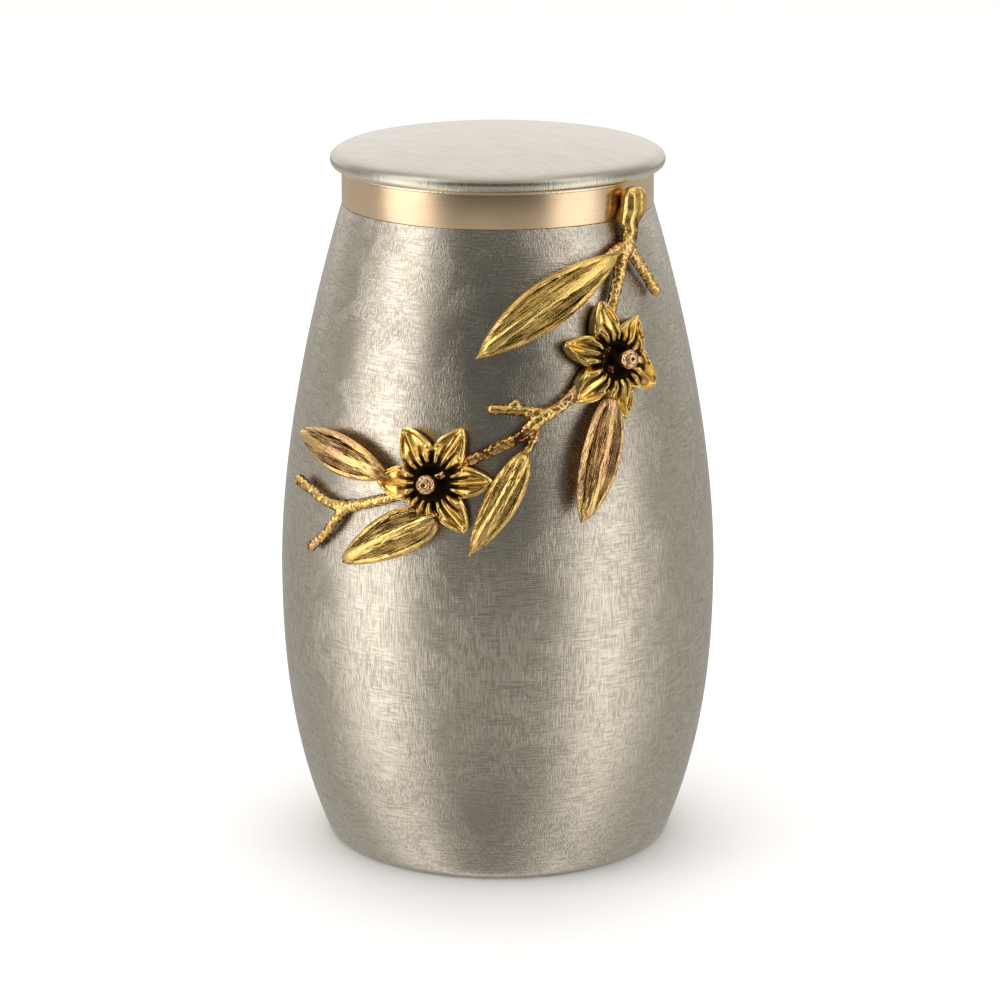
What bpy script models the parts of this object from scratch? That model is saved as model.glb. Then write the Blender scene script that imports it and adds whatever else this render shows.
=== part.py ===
"""A cremation urn: a hollow spun vessel with a bronze neck band, a lift-off lid and a cast branch of flowers.

Metres, +Z up. The origin is the middle of the underside, and the branch is on the side that faces -Y.
"""

import math

import bmesh
import bpy
from mathutils import Matrix, Vector

# Vessel: its outline swells from the foot to the belly and draws in to the shoulder
BODY_HEIGHT = 0.2310  # underside to shoulder
FOOT_RADIUS = 0.0618
FOOT_ROUNDING = 0.0022
BELLY_RADIUS = 0.0780
BELLY_HEIGHT = 0.1000
SHOULDER_RADIUS = 0.0550
FULLNESS_BELOW = 2.50  # exponent of the outline from the belly to the foot
FULLNESS_ABOVE = 1.72  # exponent of the outline from the belly to the shoulder
BODY_WALL = 0.0015
BODY_FLOOR = 0.0020

# Collar round the neck
BAND_HEIGHT = 0.0114
BAND_THICKNESS = 0.0015
SEAT_GAP = 0.0003  # between pieces that rest on or in each other

# Lid
LID_RADIUS = 0.0590
LID_WALL = 0.0016
LID_LIP_OVERHANG = 0.0005  # how far the lip stands out from the band
LID_LIP_HEIGHT = 0.0008
LID_WIDEST_HEIGHT = 0.0037  # above the lid's underside
LID_CREST_RADIUS = 0.0515  # where the rolled edge becomes the crown
LID_CREST_HEIGHT = 0.0085
LID_CROWN_RISE = 0.0050
LID_CROWN_STEP = 0.5  # where the crown has a ring of points, as a share of its radius
SKIRT_DEPTH = 0.0120
SKIRT_WALL = 0.0015
SKIRT_CLEARANCE = 0.0005

# Facets
TURN_STEPS = 56
OUTLINE_STEPS_BELOW = 5
OUTLINE_STEPS_ABOVE = 6
ROUND_STEPS = 3
MERGE_DISTANCE = 0.00001
SLOPE_STEP = 0.0001
SMOOTH_BELOW = 35.0  # degrees between two faces that are shaded as one

# Branch: a point is (degrees round the vessel from -Y, drop below the shoulder, height off the skin, radius)
STEM = (
    (51.7, -0.0086, 0.0047, 0.0041),
    (51.4, -0.0040, 0.0046, 0.0043),
    (50.2, 0.0010, 0.0042, 0.0034),
    (48.9, 0.0050, 0.0036, 0.0029),
    (46.8, 0.0085, 0.0035, 0.0030),
    (43.2, 0.0125, 0.0035, 0.0024),
    (39.4, 0.0205, 0.0035, 0.0021),
    (36.2, 0.0275, 0.0034, 0.0020),
    (33.6, 0.0370, 0.0032, 0.0020),
    (30.6, 0.0430, 0.0030, 0.0020),
    (26.5, 0.0480, 0.0030, 0.0020),
    (22.4, 0.0528, 0.0030, 0.0020),
    (17.4, 0.0580, 0.0031, 0.0020),
    (10.6, 0.0625, 0.0032, 0.0024),
    (6.6, 0.0672, 0.0032, 0.0021),
    (0.6, 0.0710, 0.0030, 0.0020),
    (-5.8, 0.0750, 0.0030, 0.0019),
    (-13.0, 0.0800, 0.0030, 0.0019),
    (-20.5, 0.0858, 0.0030, 0.0019),
    (-28.1, 0.0903, 0.0030, 0.0019),
    (-35.1, 0.0934, 0.0030, 0.0019),
    (-42.2, 0.0962, 0.0030, 0.0022),
    (-48.1, 0.0962, 0.0030, 0.0018),
    (-55.2, 0.0941, 0.0030, 0.0018),
    (-62.3, 0.0925, 0.0030, 0.0020),
)
TWIGS = {
    "upper_twig": (
        (46.8, 0.0085, 0.0035, 0.0026),
        (49.0, 0.0125, 0.0033, 0.0021),
        (52.9, 0.0186, 0.0030, 0.0019),
        (57.0, 0.0254, 0.0029, 0.0020),
    ),
    "middle_twig": (
        (12.6, 0.0610, 0.0032, 0.0020),
        (8.2, 0.0594, 0.0031, 0.0019),
        (3.4, 0.0590, 0.0030, 0.0018),
        (-1.6, 0.0587, 0.0030, 0.0018),
    ),
    "middle_bud": (
        (3.2, 0.0590, 0.0030, 0.0017),
        (4.9, 0.0568, 0.0034, 0.0016),
    ),
    "lower_twig": (
        (-41.4, 0.0955, 0.0030, 0.0020),
        (-44.8, 0.1013, 0.0030, 0.0018),
        (-48.2, 0.1068, 0.0030, 0.0017),
        (-54.2, 0.1135, 0.0029, 0.0019),
    ),
    "top_leaf_stalk": (
        (46.2, 0.0085, 0.0035, 0.0024),
        (41.5, 0.0094, 0.0038, 0.0019),
        (35.6, 0.0117, 0.0042, 0.0017),
        (28.4, 0.0142, 0.0045, 0.0018),
    ),
    "middle_leaf_stalk": (
        (10.2, 0.0630, 0.0032, 0.0020),
        (9.6, 0.0678, 0.0034, 0.0015),
        (6.7, 0.0736, 0.0038, 0.0014),
    ),
    "flower_leaf_stalk": (
        (33.2, 0.0440, 0.0032, 0.0018),
        (31.2, 0.0585, 0.0028, 0.0015),
    ),
    "left_leaf_stalk": (
        (-20.0, 0.0845, 0.0032, 0.0017),
        (-28.5, 0.0832, 0.0038, 0.0015),
    ),
    "bottom_leaf_stalk": (
        (-18.5, 0.0845, 0.0032, 0.0017),
        (-15.6, 0.0950, 0.0036, 0.0015),
    ),
}
STEM_BEVEL_STEPS = 2  # bevel resolution of the stem, for eight sides
TWIG_BEVEL_STEPS = 1  # and of the twigs, for six
TIP_ROUNDING = 0.6  # a tip's last ring, as a share of its radius

# Leaves: foot and tip are (degrees, drop, height off the skin) of the midrib, and swell and taper are the
# exponents of the outline towards the foot and towards the tip
LEAVES = {
    "top_leaf": {
        "foot": (29.6, 0.0134, 0.0045),
        "tip": (-5.9, 0.0420, 0.0032),
        "width": 0.0135,
        "bow": 0.0026,
        "arch": 0.0012,
        "swell": 0.66,
        "taper": 1.04,
    },
    "middle_leaf": {
        "foot": (7.2, 0.0724, 0.0038),
        "tip": (-6.9, 0.1077, 0.0032),
        "width": 0.0096,
        "bow": -0.0004,
        "arch": 0.0012,
        "swell": 0.73,
        "taper": 1.02,
    },
    "flower_leaf": {
        "foot": (31.3, 0.0570, 0.0034),
        "tip": (20.1, 0.0972, 0.0058),
        "width": 0.0122,
        "bow": 0.0002,
        "arch": 0.0020,
        "swell": 0.60,
        "taper": 0.82,
    },
    "left_leaf": {
        "foot": (-27.7, 0.0832, 0.0038),
        "tip": (-63.0, 0.0748, 0.0034),
        "width": 0.0121,
        "bow": 0.0012,
        "arch": 0.0012,
        "swell": 1.00,
        "taper": 1.26,
    },
    "bottom_leaf": {
        "foot": (-15.6, 0.0952, 0.0036),
        "tip": (-41.0, 0.1152, 0.0032),
        "width": 0.0138,
        "bow": 0.0008,
        "arch": 0.0012,
        "swell": 0.45,
        "taper": 0.95,
    },
}
LEAF_THICKNESS = 0.0024
LEAF_END_WIDTH = 0.0012  # at the foot and at the tip
LEAF_RIM = 0.0005  # the rim over the hollows beside the midrib
LEAF_ROWS = 8
LEAF_COLUMNS = 4

# Flowers: a petal is (degrees from the flower's right to its top, reach to its tip, reach to the next notch)
FLOWERS = {
    "upper_flower": {
        "place": (33.3, 0.0450),
        "petals": (
            (-141.0, 0.0203, 0.0112),
            (-84.0, 0.0204, 0.0118),
            (-31.0, 0.0208, 0.0150),
            (44.0, 0.0192, 0.0110),
            (95.0, 0.0205, 0.0110),
            (158.0, 0.0193, 0.0104),
        ),
    },
    "lower_flower": {
        "place": (-15.9, 0.0832),
        "petals": (
            (-112.5, 0.0192, 0.0116),
            (-55.5, 0.0202, 0.0112),
            (2.0, 0.0203, 0.0110),
            (62.0, 0.0207, 0.0106),
            (126.0, 0.0212, 0.0126),
            (185.0, 0.0212, 0.0114),
        ),
    },
}
PETAL_TAPER = 0.0102  # how far a petal's edge would draw in from its tip to the notch
PETAL_POINT = 1.05  # exponent of the edge between tip and notch
PETAL_COLUMNS = 8
PETAL_RINGS = (0.0, 0.28, 0.58, 0.86, 1.0)  # shares of the way from the throat to the edge
PETAL_TIP_HEIGHT = 0.0050
PETAL_CREST_HEIGHT = 0.0086
PETAL_CREST_SHARE = 0.25  # of the way from the throat to the longest tip
PETAL_VALLEY = 0.0022  # depth of the fold between two petals
PETAL_VALLEY_POWER = 4
PETAL_RIM = 0.0006
PETAL_RIDGE = 0.0005
PETAL_RIDGE_WIDTH = 0.33  # as a share of half a petal
PETAL_BACK_HEIGHT = 0.0013
PETAL_BACK_INSET = 0.0010
THROAT_RADIUS = 0.0056
THROAT_FLOOR_RADIUS = 0.0040
THROAT_RIM_HEIGHT = 0.0072
THROAT_FLOOR_HEIGHT = 0.0035
CALYX_RADIUS = 0.0065
CALYX_FOOT_RADIUS = 0.0055
CALYX_GAP = 0.0004  # between the calyx and the vessel's skin
PISTIL_RADIUS = 0.0022
PISTIL_FOOT_RADIUS = 0.0026
PISTIL_SIDES = 8
PISTIL_HEAD_RADIUS = 0.0031
PISTIL_HEAD_LENGTH = 0.0044
PISTIL_HEAD_HEIGHT = 0.0148
PISTIL_HEAD_SIDES = 10
PISTIL_HEAD_RINGS = 6

# Places that follow from the sizes above
NECK_RADIUS = SHOULDER_RADIUS - BAND_THICKNESS - SEAT_GAP
NECK_TOP = BODY_HEIGHT + SEAT_GAP + BAND_HEIGHT
BAND_BOTTOM = BODY_HEIGHT + SEAT_GAP
LID_BOTTOM = NECK_TOP + SEAT_GAP
SKIRT_RADIUS = NECK_RADIUS - BODY_WALL - SKIRT_CLEARANCE


def skin_radius(height):
    """Radius of the vessel's outside at a height, or of the band above the shoulder."""
    if height >= BODY_HEIGHT:
        return SHOULDER_RADIUS
    if height >= BELLY_HEIGHT:
        share = (height - BELLY_HEIGHT) / (BODY_HEIGHT - BELLY_HEIGHT)
        return BELLY_RADIUS - (BELLY_RADIUS - SHOULDER_RADIUS) * share**FULLNESS_ABOVE
    share = (BELLY_HEIGHT - height) / BELLY_HEIGHT
    return BELLY_RADIUS - (BELLY_RADIUS - FOOT_RADIUS) * share**FULLNESS_BELOW


def skin_slope(height):
    """How much the outside widens for each metre of height."""
    if height >= BODY_HEIGHT:
        return 0.0
    return (skin_radius(height) - skin_radius(height - SLOPE_STEP)) / SLOPE_STEP


def skin_frame(degrees, drop):
    """A frame on the skin: X goes round the vessel, Y up along it and Z straight out."""
    height = BODY_HEIGHT - drop
    angle = math.radians(degrees)
    outward = Vector((math.sin(angle), -math.cos(angle), 0.0))
    around = Vector((math.cos(angle), math.sin(angle), 0.0))
    upward = (outward * skin_slope(height) + Vector((0.0, 0.0, 1.0))).normalized()
    frame = Matrix((around, upward, around.cross(upward))).transposed().to_4x4()
    frame.translation = outward * skin_radius(height) + Vector((0.0, 0.0, height))
    return frame


def skin_point(degrees, drop, off_skin):
    return skin_frame(degrees, drop) @ Vector((0.0, 0.0, off_skin))


def new_collection(name):
    collection = bpy.data.collections.new(name)
    bpy.context.scene.collection.children.link(collection)
    return collection


def new_object(name, mesh, collection):
    item = bpy.data.objects.new(name, mesh)
    collection.objects.link(item)
    return item


def metal(name, color, roughness):
    material = bpy.data.materials.new(name)
    material.use_nodes = True
    shader = material.node_tree.nodes["Principled BSDF"]
    shader.inputs["Base Color"].default_value = (*color, 1.0)
    shader.inputs["Metallic"].default_value = 1.0
    shader.inputs["Roughness"].default_value = roughness
    return material


def evaluated_mesh(item):
    graph = bpy.context.evaluated_depsgraph_get()
    return bpy.data.meshes.new_from_object(item.evaluated_get(graph))


def turned(name, profile, is_ring, material, collection):
    """A turned piece from (radius, height) points that run down its outer side."""
    mesh = bpy.data.meshes.new(name)
    edges = [(i, i + 1) for i in range(len(profile) - 1)]
    if is_ring:
        edges.append((len(profile) - 1, 0))
    mesh.from_pydata([(radius, 0.0, height) for radius, height in profile], edges, [])
    item = new_object(name, mesh, collection)
    screw = item.modifiers.new("Turn", "SCREW")
    screw.steps = TURN_STEPS
    screw.render_steps = TURN_STEPS
    screw.use_merge_vertices = True
    screw.merge_threshold = MERGE_DISTANCE
    item.data = evaluated_mesh(item)
    item.modifiers.clear()
    item.data.shade_smooth()
    item.data.set_sharp_from_angle(angle=math.radians(SMOOTH_BELOW))
    item.data.materials.append(material)
    return item


def curve_between(start, corner, end, steps):
    """Points of a rounded corner after its start, up to and with its end."""
    points = []
    for i in range(1, steps + 1):
        t = i / steps
        shares = ((1 - t) ** 2, 2 * t * (1 - t), t**2)
        points.append(tuple(sum(w * v for w, v in zip(shares, values)) for values in zip(start, corner, end)))
    return points


def outline_heights():
    """Heights from the top of the foot's rounding to the shoulder at which the outline has a point."""
    low = (BELLY_HEIGHT - FOOT_ROUNDING) / OUTLINE_STEPS_BELOW
    high = (BODY_HEIGHT - BELLY_HEIGHT) / OUTLINE_STEPS_ABOVE
    below = [FOOT_ROUNDING + low * i for i in range(OUTLINE_STEPS_BELOW)]
    return below + [BELLY_HEIGHT + high * i for i in range(OUTLINE_STEPS_ABOVE + 1)]


def build_body(collection):
    heights = outline_heights()
    inner = [(skin_radius(height) - BODY_WALL, height) for height in heights[1:-1]]
    mouth = NECK_RADIUS - BODY_WALL
    profile = [(0.0, BODY_FLOOR), (FOOT_RADIUS - BODY_WALL - FOOT_ROUNDING, BODY_FLOOR)]
    profile += inner
    profile += [(mouth, BODY_HEIGHT), (mouth, NECK_TOP), (NECK_RADIUS, NECK_TOP), (NECK_RADIUS, BODY_HEIGHT)]
    profile += [(skin_radius(height), height) for height in reversed(heights)]
    corner = (skin_radius(0.0), 0.0)
    underside_edge = (FOOT_RADIUS - FOOT_ROUNDING, 0.0)
    profile += curve_between(profile[-1], corner, underside_edge, ROUND_STEPS)
    profile.append((0.0, 0.0))
    return turned("urn_body", profile, False, metal("pewter", (0.48, 0.45, 0.40), 0.34), collection)


def build_band(collection):
    inner = SHOULDER_RADIUS - BAND_THICKNESS
    outer_side = [(SHOULDER_RADIUS, NECK_TOP), (SHOULDER_RADIUS, BAND_BOTTOM)]
    profile = [(inner, NECK_TOP), *outer_side, (inner, BAND_BOTTOM)]
    return turned("neck_band", profile, True, metal("band_bronze", (0.66, 0.50, 0.31), 0.22), collection)


def crown_height(radius, crest_radius, crest_height, rise):
    """Height of a domed top over its crest, at a radius."""
    return crest_height + rise * (1.0 - (radius / crest_radius) ** 2)


def build_lid(collection):
    lip_radius = SHOULDER_RADIUS + LID_LIP_OVERHANG
    widest = (LID_RADIUS, LID_WIDEST_HEIGHT)
    crest = (LID_CREST_RADIUS, LID_CREST_HEIGHT)
    edge_slope = 2.0 * LID_CROWN_RISE / LID_CREST_RADIUS
    shoulder = (LID_RADIUS, LID_CREST_HEIGHT - edge_slope * (LID_RADIUS - LID_CREST_RADIUS))
    inner_crest = LID_CREST_RADIUS - LID_WALL
    inner_widest = LID_RADIUS - LID_WALL
    step = LID_CROWN_STEP * LID_CREST_RADIUS
    inner_step = LID_CROWN_STEP * inner_crest
    profile = [
        (0.0, LID_CREST_HEIGHT + LID_CROWN_RISE),
        (step, crown_height(step, LID_CREST_RADIUS, LID_CREST_HEIGHT, LID_CROWN_RISE)),
        crest,
    ]
    profile += curve_between(crest, shoulder, widest, ROUND_STEPS)
    profile += curve_between(widest, (LID_RADIUS, LID_LIP_HEIGHT), (lip_radius, LID_LIP_HEIGHT), ROUND_STEPS)
    profile += [
        (lip_radius, 0.0),
        (SKIRT_RADIUS, 0.0),
        (SKIRT_RADIUS, -SKIRT_DEPTH),
        (SKIRT_RADIUS - SKIRT_WALL, -SKIRT_DEPTH),
        (SKIRT_RADIUS - SKIRT_WALL, LID_WALL),
        (lip_radius - LID_WALL, LID_LIP_HEIGHT + LID_WALL),
        (inner_widest, LID_WIDEST_HEIGHT + LID_LIP_HEIGHT),
        (inner_crest, LID_CREST_HEIGHT - LID_WALL),
        (inner_step, crown_height(inner_step, inner_crest, LID_CREST_HEIGHT, LID_CROWN_RISE) - LID_WALL),
        (0.0, LID_CREST_HEIGHT + LID_CROWN_RISE - LID_WALL),
    ]
    raised = [(radius, height + LID_BOTTOM) for radius, height in profile]
    return turned("lid", raised, False, metal("lid_pewter", (0.66, 0.63, 0.58), 0.36), collection)


def member(name, mesh, members):
    """One form of the casting, before it is joined to the others."""
    item = new_object(name, mesh, members)
    item.hide_render = True
    item.display_type = "WIRE"
    return item


def stem_mesh(points, bevel_resolution, rounded_ends):
    """A tube on skin points with a radius each, whose free ends are rounded."""
    places = [skin_point(degrees, drop, off_skin) for degrees, drop, off_skin, radius in points]
    radii = [point[3] for point in points]
    for end, inner in rounded_ends:
        outward = (places[end] - places[inner]).normalized()
        place = places[end] + outward * radii[end] * TIP_ROUNDING
        radius = radii[end] * TIP_ROUNDING
        if end == 0:
            places.insert(0, place)
            radii.insert(0, radius)
        else:
            places.append(place)
            radii.append(radius)
    curve = bpy.data.curves.new("tube", "CURVE")
    curve.dimensions = "3D"
    curve.bevel_depth = max(radii)
    curve.bevel_resolution = bevel_resolution
    curve.use_fill_caps = True
    spline = curve.splines.new("POLY")
    spline.points.add(len(places) - 1)
    for point, place, radius in zip(spline.points, places, radii):
        point.co = (*place, 1.0)
        point.radius = radius / curve.bevel_depth
    tube = bpy.data.objects.new("tube", curve)
    bpy.context.scene.collection.objects.link(tube)
    mesh = evaluated_mesh(tube)
    bpy.data.objects.remove(tube)
    bm = bmesh.new()
    bm.from_mesh(mesh)
    bmesh.ops.remove_doubles(bm, verts=bm.verts, dist=MERGE_DISTANCE)
    bmesh.ops.recalc_face_normals(bm, faces=bm.faces)
    bm.to_mesh(mesh)
    bm.free()
    return mesh


def leaf_width(share, swell, taper):
    """Half the blade's width along its length, as a share of the greatest."""
    fullest = swell / (swell + taper)
    greatest = fullest**swell * (1.0 - fullest) ** taper
    return share**swell * (1.0 - share) ** taper / greatest


def leaf_mesh(foot, tip, width, bow, arch, swell, taper):
    """A blade bent onto the skin, with a rim and a midrib over two hollows."""
    middle_radius = skin_radius(BODY_HEIGHT - (foot[1] + tip[1]) / 2)
    start = Vector((math.radians(foot[0]) * middle_radius, -foot[1]))
    end = Vector((math.radians(tip[0]) * middle_radius, -tip[1]))
    along = end - start
    across = Vector((along.y, -along.x)).normalized()
    bm = bmesh.new()
    bmesh.ops.create_grid(bm, x_segments=LEAF_ROWS, y_segments=LEAF_COLUMNS, size=0.5)
    for vertex in bm.verts:
        share = vertex.co.x + 0.5
        side = vertex.co.y * 2.0
        half_width = max(leaf_width(share, swell, taper) * width, LEAF_END_WIDTH) / 2
        flat = start + along * share + across * (4.0 * bow * share * (1.0 - share) + side * half_width)
        rim = LEAF_RIM * (2.0 * abs(side) - 1.0) ** 2 * min(1.0, half_width / LEAF_THICKNESS)
        off_skin = foot[2] + (tip[2] - foot[2]) * share + 4.0 * arch * share * (1.0 - share) + rim
        vertex.co = skin_point(math.degrees(flat.x / middle_radius), -flat.y, off_skin)
    mesh = bpy.data.meshes.new("blade")
    bm.to_mesh(mesh)
    bm.free()
    return mesh


def solidified(name, mesh, thickness, members):
    item = member(name, mesh, members)
    shell = item.modifiers.new("Thickness", "SOLIDIFY")
    shell.thickness = thickness
    shell.offset = 0.0
    item.data = evaluated_mesh(item)
    item.modifiers.clear()
    return item


def petal_edge(offset, reach, notch):
    """Distance of the edge from the flower's middle, offset being 0 on a midrib and 1 at a notch."""
    return max(notch, reach - PETAL_TAPER * abs(offset) ** PETAL_POINT)


def petal_height(radius, offset, reach, share):
    """Height of a petal's face over the skin, share being 0 at the throat and 1 at the edge."""
    if share == 0.0:
        return THROAT_RIM_HEIGHT
    crest_radius = THROAT_RADIUS + PETAL_CREST_SHARE * (reach - THROAT_RADIUS)
    fall = max(0.0, radius - crest_radius) / (reach - crest_radius)
    height = PETAL_CREST_HEIGHT - (PETAL_CREST_HEIGHT - PETAL_TIP_HEIGHT) * fall
    height -= PETAL_VALLEY * abs(offset) ** PETAL_VALLEY_POWER
    height += PETAL_RIDGE * (1.0 - min(1.0, abs(offset) / PETAL_RIDGE_WIDTH))
    return height + (PETAL_RIM if share == 1.0 else 0.0)


def petal_columns(petals):
    """(angle, offset, reach, notch) of each column round a flower, from the notch before each petal."""
    columns = []
    for k, (direction, reach, notch) in enumerate(petals):
        before = petals[k - 1][0] - (360.0 if k == 0 else 0.0)
        after = petals[(k + 1) % len(petals)][0] + (360.0 if k == len(petals) - 1 else 0.0)
        for j in range(PETAL_COLUMNS):
            offset = 2.0 * j / PETAL_COLUMNS - 1.0
            half = (direction - before) / 2 if offset < 0.0 else (after - direction) / 2
            near_notch = petals[k - 1][2] if offset < 0.0 else notch
            columns.append((math.radians(direction + offset * half), offset, reach, near_notch))
    return columns


def flower_mesh(petals):
    """Petals round a deep throat: rings from the throat's floor over the petals to the foot of the calyx."""
    columns = petal_columns(petals)
    bm = bmesh.new()
    rings = []

    def add_ring(place):
        ring = []
        for angle, offset, reach, notch in columns:
            radius, height = place(offset, reach, petal_edge(offset, reach, notch))
            ring.append(bm.verts.new((radius * math.cos(angle), radius * math.sin(angle), height)))
        rings.append(ring)

    def face_ring(share):
        def place(offset, reach, edge):
            radius = THROAT_RADIUS + share * (edge - THROAT_RADIUS)
            return radius, petal_height(radius, offset, reach, share)

        return place

    add_ring(lambda offset, reach, edge: (THROAT_FLOOR_RADIUS, THROAT_FLOOR_HEIGHT))
    for share in PETAL_RINGS:
        add_ring(face_ring(share))
    add_ring(lambda offset, reach, edge: (edge - PETAL_BACK_INSET, PETAL_BACK_HEIGHT))
    add_ring(lambda offset, reach, edge: (CALYX_RADIUS, PETAL_BACK_HEIGHT))
    add_ring(lambda offset, reach, edge: (CALYX_FOOT_RADIUS, CALYX_GAP))
    for upper, lower in zip(rings, rings[1:]):
        for i in range(len(columns)):
            j = (i + 1) % len(columns)
            bm.faces.new((upper[i], lower[i], lower[j], upper[j]))
    bm.faces.new(rings[0])
    bm.faces.new(reversed(rings[-1]))
    bmesh.ops.recalc_face_normals(bm, faces=bm.faces)
    mesh = bpy.data.meshes.new("flower")
    bm.to_mesh(mesh)
    bm.free()
    return mesh


def bent_onto_skin(mesh, degrees, drop):
    """Lays a flat mesh round the vessel, so that its heights become heights off the skin."""
    around = skin_radius(BODY_HEIGHT - drop)
    rise = skin_frame(degrees, drop)[2][1]
    for vertex in mesh.vertices:
        x, y, z = vertex.co
        vertex.co = skin_point(degrees + math.degrees(x / (around + z)), drop - y * rise, z)
    return mesh


def pistil_meshes():
    """The pistil's stalk and its rounded head, on the flower's axis."""
    length = PISTIL_HEAD_HEIGHT - THROAT_FLOOR_HEIGHT + PISTIL_RADIUS
    middle = Matrix.Translation((0.0, 0.0, PISTIL_HEAD_HEIGHT - length / 2))
    stalk = bmesh.new()
    bmesh.ops.create_cone(stalk, cap_ends=True, segments=PISTIL_SIDES, radius1=PISTIL_FOOT_RADIUS,
                          radius2=PISTIL_RADIUS, depth=length, matrix=middle)
    head = bmesh.new()
    stretch = Matrix.Diagonal((1.0, 1.0, PISTIL_HEAD_LENGTH / (2 * PISTIL_HEAD_RADIUS), 1.0))
    place = Matrix.Translation((0.0, 0.0, PISTIL_HEAD_HEIGHT))
    bmesh.ops.create_uvsphere(head, u_segments=PISTIL_HEAD_SIDES, v_segments=PISTIL_HEAD_RINGS,
                              radius=PISTIL_HEAD_RADIUS, matrix=place @ stretch)
    meshes = []
    for bm in (stalk, head):
        mesh = bpy.data.meshes.new("pistil")
        bm.to_mesh(mesh)
        bm.free()
        meshes.append(mesh)
    return meshes


def build_branch(collection, members):
    stem = member("stem", stem_mesh(STEM, STEM_BEVEL_STEPS, ((0, 1), (-1, -2))), members)
    for name, points in TWIGS.items():
        is_free = not name.endswith("stalk")
        member(name, stem_mesh(points, TWIG_BEVEL_STEPS, ((-1, -2),) if is_free else ()), members)
    for name, leaf in LEAVES.items():
        solidified(name, leaf_mesh(**leaf), LEAF_THICKNESS, members)
    for name, flower in FLOWERS.items():
        degrees, drop = flower["place"]
        member(f"{name}_petals", bent_onto_skin(flower_mesh(flower["petals"]), degrees, drop), members)
        for suffix, mesh in zip(("pistil", "pistil_head"), pistil_meshes()):
            mesh.transform(skin_frame(degrees, drop))
            member(f"{name}_{suffix}", mesh, members)
    branch = new_object("flower_branch", stem.data.copy(), collection)
    for item in list(members.objects):
        if item is stem:
            continue
        join = branch.modifiers.new(item.name, "BOOLEAN")
        join.operation = "UNION"
        join.solver = "MANIFOLD"  # each form is closed; the exact one leaves gaps at thin blades
        join.object = item
    branch.data = evaluated_mesh(branch)
    branch.modifiers.clear()
    branch.data.shade_smooth()
    branch.data.set_sharp_from_angle(angle=math.radians(SMOOTH_BELOW))
    branch.data.materials.clear()
    branch.data.materials.append(metal("cast_bronze", (0.55, 0.38, 0.13), 0.30))
    return branch


def main():
    for item in list(bpy.data.objects):
        bpy.data.objects.remove(item)
    urn = new_collection("cremation_urn")
    members = new_collection("branch_members")
    build_body(urn)
    build_band(urn)
    build_lid(urn)
    build_branch(urn, members)


main()
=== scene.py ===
"""A cremation urn of brushed pewter, with a bronze neck band and a cast branch of leaves and flowers."""

import math

import bpy
from mathutils import Matrix, Vector, noise


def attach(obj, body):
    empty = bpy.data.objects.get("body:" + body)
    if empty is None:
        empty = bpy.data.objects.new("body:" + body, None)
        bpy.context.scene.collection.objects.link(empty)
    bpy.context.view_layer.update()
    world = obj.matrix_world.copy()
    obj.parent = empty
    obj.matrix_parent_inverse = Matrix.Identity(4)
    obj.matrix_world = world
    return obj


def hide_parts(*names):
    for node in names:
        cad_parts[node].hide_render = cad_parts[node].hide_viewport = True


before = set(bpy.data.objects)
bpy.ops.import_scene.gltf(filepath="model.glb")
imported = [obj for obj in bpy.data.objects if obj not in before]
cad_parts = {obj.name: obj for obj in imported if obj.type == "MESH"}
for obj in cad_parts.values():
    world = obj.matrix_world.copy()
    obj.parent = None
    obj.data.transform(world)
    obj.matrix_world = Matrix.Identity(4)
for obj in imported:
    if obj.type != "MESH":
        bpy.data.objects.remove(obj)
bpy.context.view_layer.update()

bl_info = {
    "name": "Cremation Urn",
    "version": (1, 0, 0),
    "blender": (4, 5, 0),
    "location": "3D View > Sidebar > Urn",
    "description": "Builds a pewter urn with a bronze neck band and a cast branch of flowers",
    "category": "Object",
}

# Metres, +Z up, with the branch on the side that faces -Y
FOOT_ROUNDING = 0.0022
BELLY_HEIGHT = 0.1000
FULLNESS_BELOW = 2.50  # exponent of the outline from the belly to the foot
FULLNESS_ABOVE = 1.72  # exponent of the outline from the belly to the shoulder
BODY_FLOOR = 0.0020
SEAT_GAP = 0.0003  # between pieces that rest on or in each other
SLOPE_STEP = 0.0001
MERGE_DISTANCE = 0.00001
RING_SIDES = 192
OUTLINE_STEPS = 72
FOOT_STEPS = 6
DISC_RINGS = (0.1, 0.4, 0.7, 1.0)  # shares of a flat disc's radius

# Brushing on the vessel
BRUSH_LINES = 2300.0  # brush marks side by side in a metre
BRUSH_WAVER = 0.0003
BRUSH_DEPTH = 0.00016
BRUSH_TARNISH = 0.68
BRUSH_ROUGHNESS = (0.33, 0.21)  # in the marks and between them

# Band
BAND_STANDOFF = 0.00003
BAND_ROUNDING = 0.00035
BAND_LINES_DEPTH = 0.000012

# Lid, with heights over its underside
LIP_OVERHANG = 0.0005
LIP_HEIGHT = 0.0008
WIDEST_HEIGHT = 0.0037
CREST_HEIGHT = 0.0085
SKIRT_CLEARANCE = 0.0005
SKIRT_WALL = 0.0015
LID_BEVEL = 0.0003
CEILING_RINGS = (0.03, 0.15, 0.3, 0.45, 0.6, 0.75, 0.9, 1.0)
CROWN_RINGS = (0.97, 0.93, 0.86, 0.78, 0.7, 0.6, 0.5, 0.4, 0.3, 0.2, 0.1, 0.03)
CROWN_TO_ROLL = (0.0076, 0.0056)  # heights between which one finish gives way to the next: crown to the roll's painted shade, hairlines to upright marks, roll to the lip's painted highlight
CROWN_TO_EDGE = (0.0066, 0.0036)
ROLL_TO_LIP = (0.0042, 0.0024)
# Tints of the lid's pewter: painted shade on the rolled edge, a painted highlight on the lip
ROLL_PAINTED_SHADE = (0.84, 0.85, 0.78)
LIP_PAINTED_HIGHLIGHT = (1.45, 1.43, 1.33)
HAIRLINES = ((35.0, 1300.0, 70.0), (-28.0, 1000.0, 110.0))  # (slant in degrees, lines across, breaks along)
HAIRLINE_DEPTH = 0.00012

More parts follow.
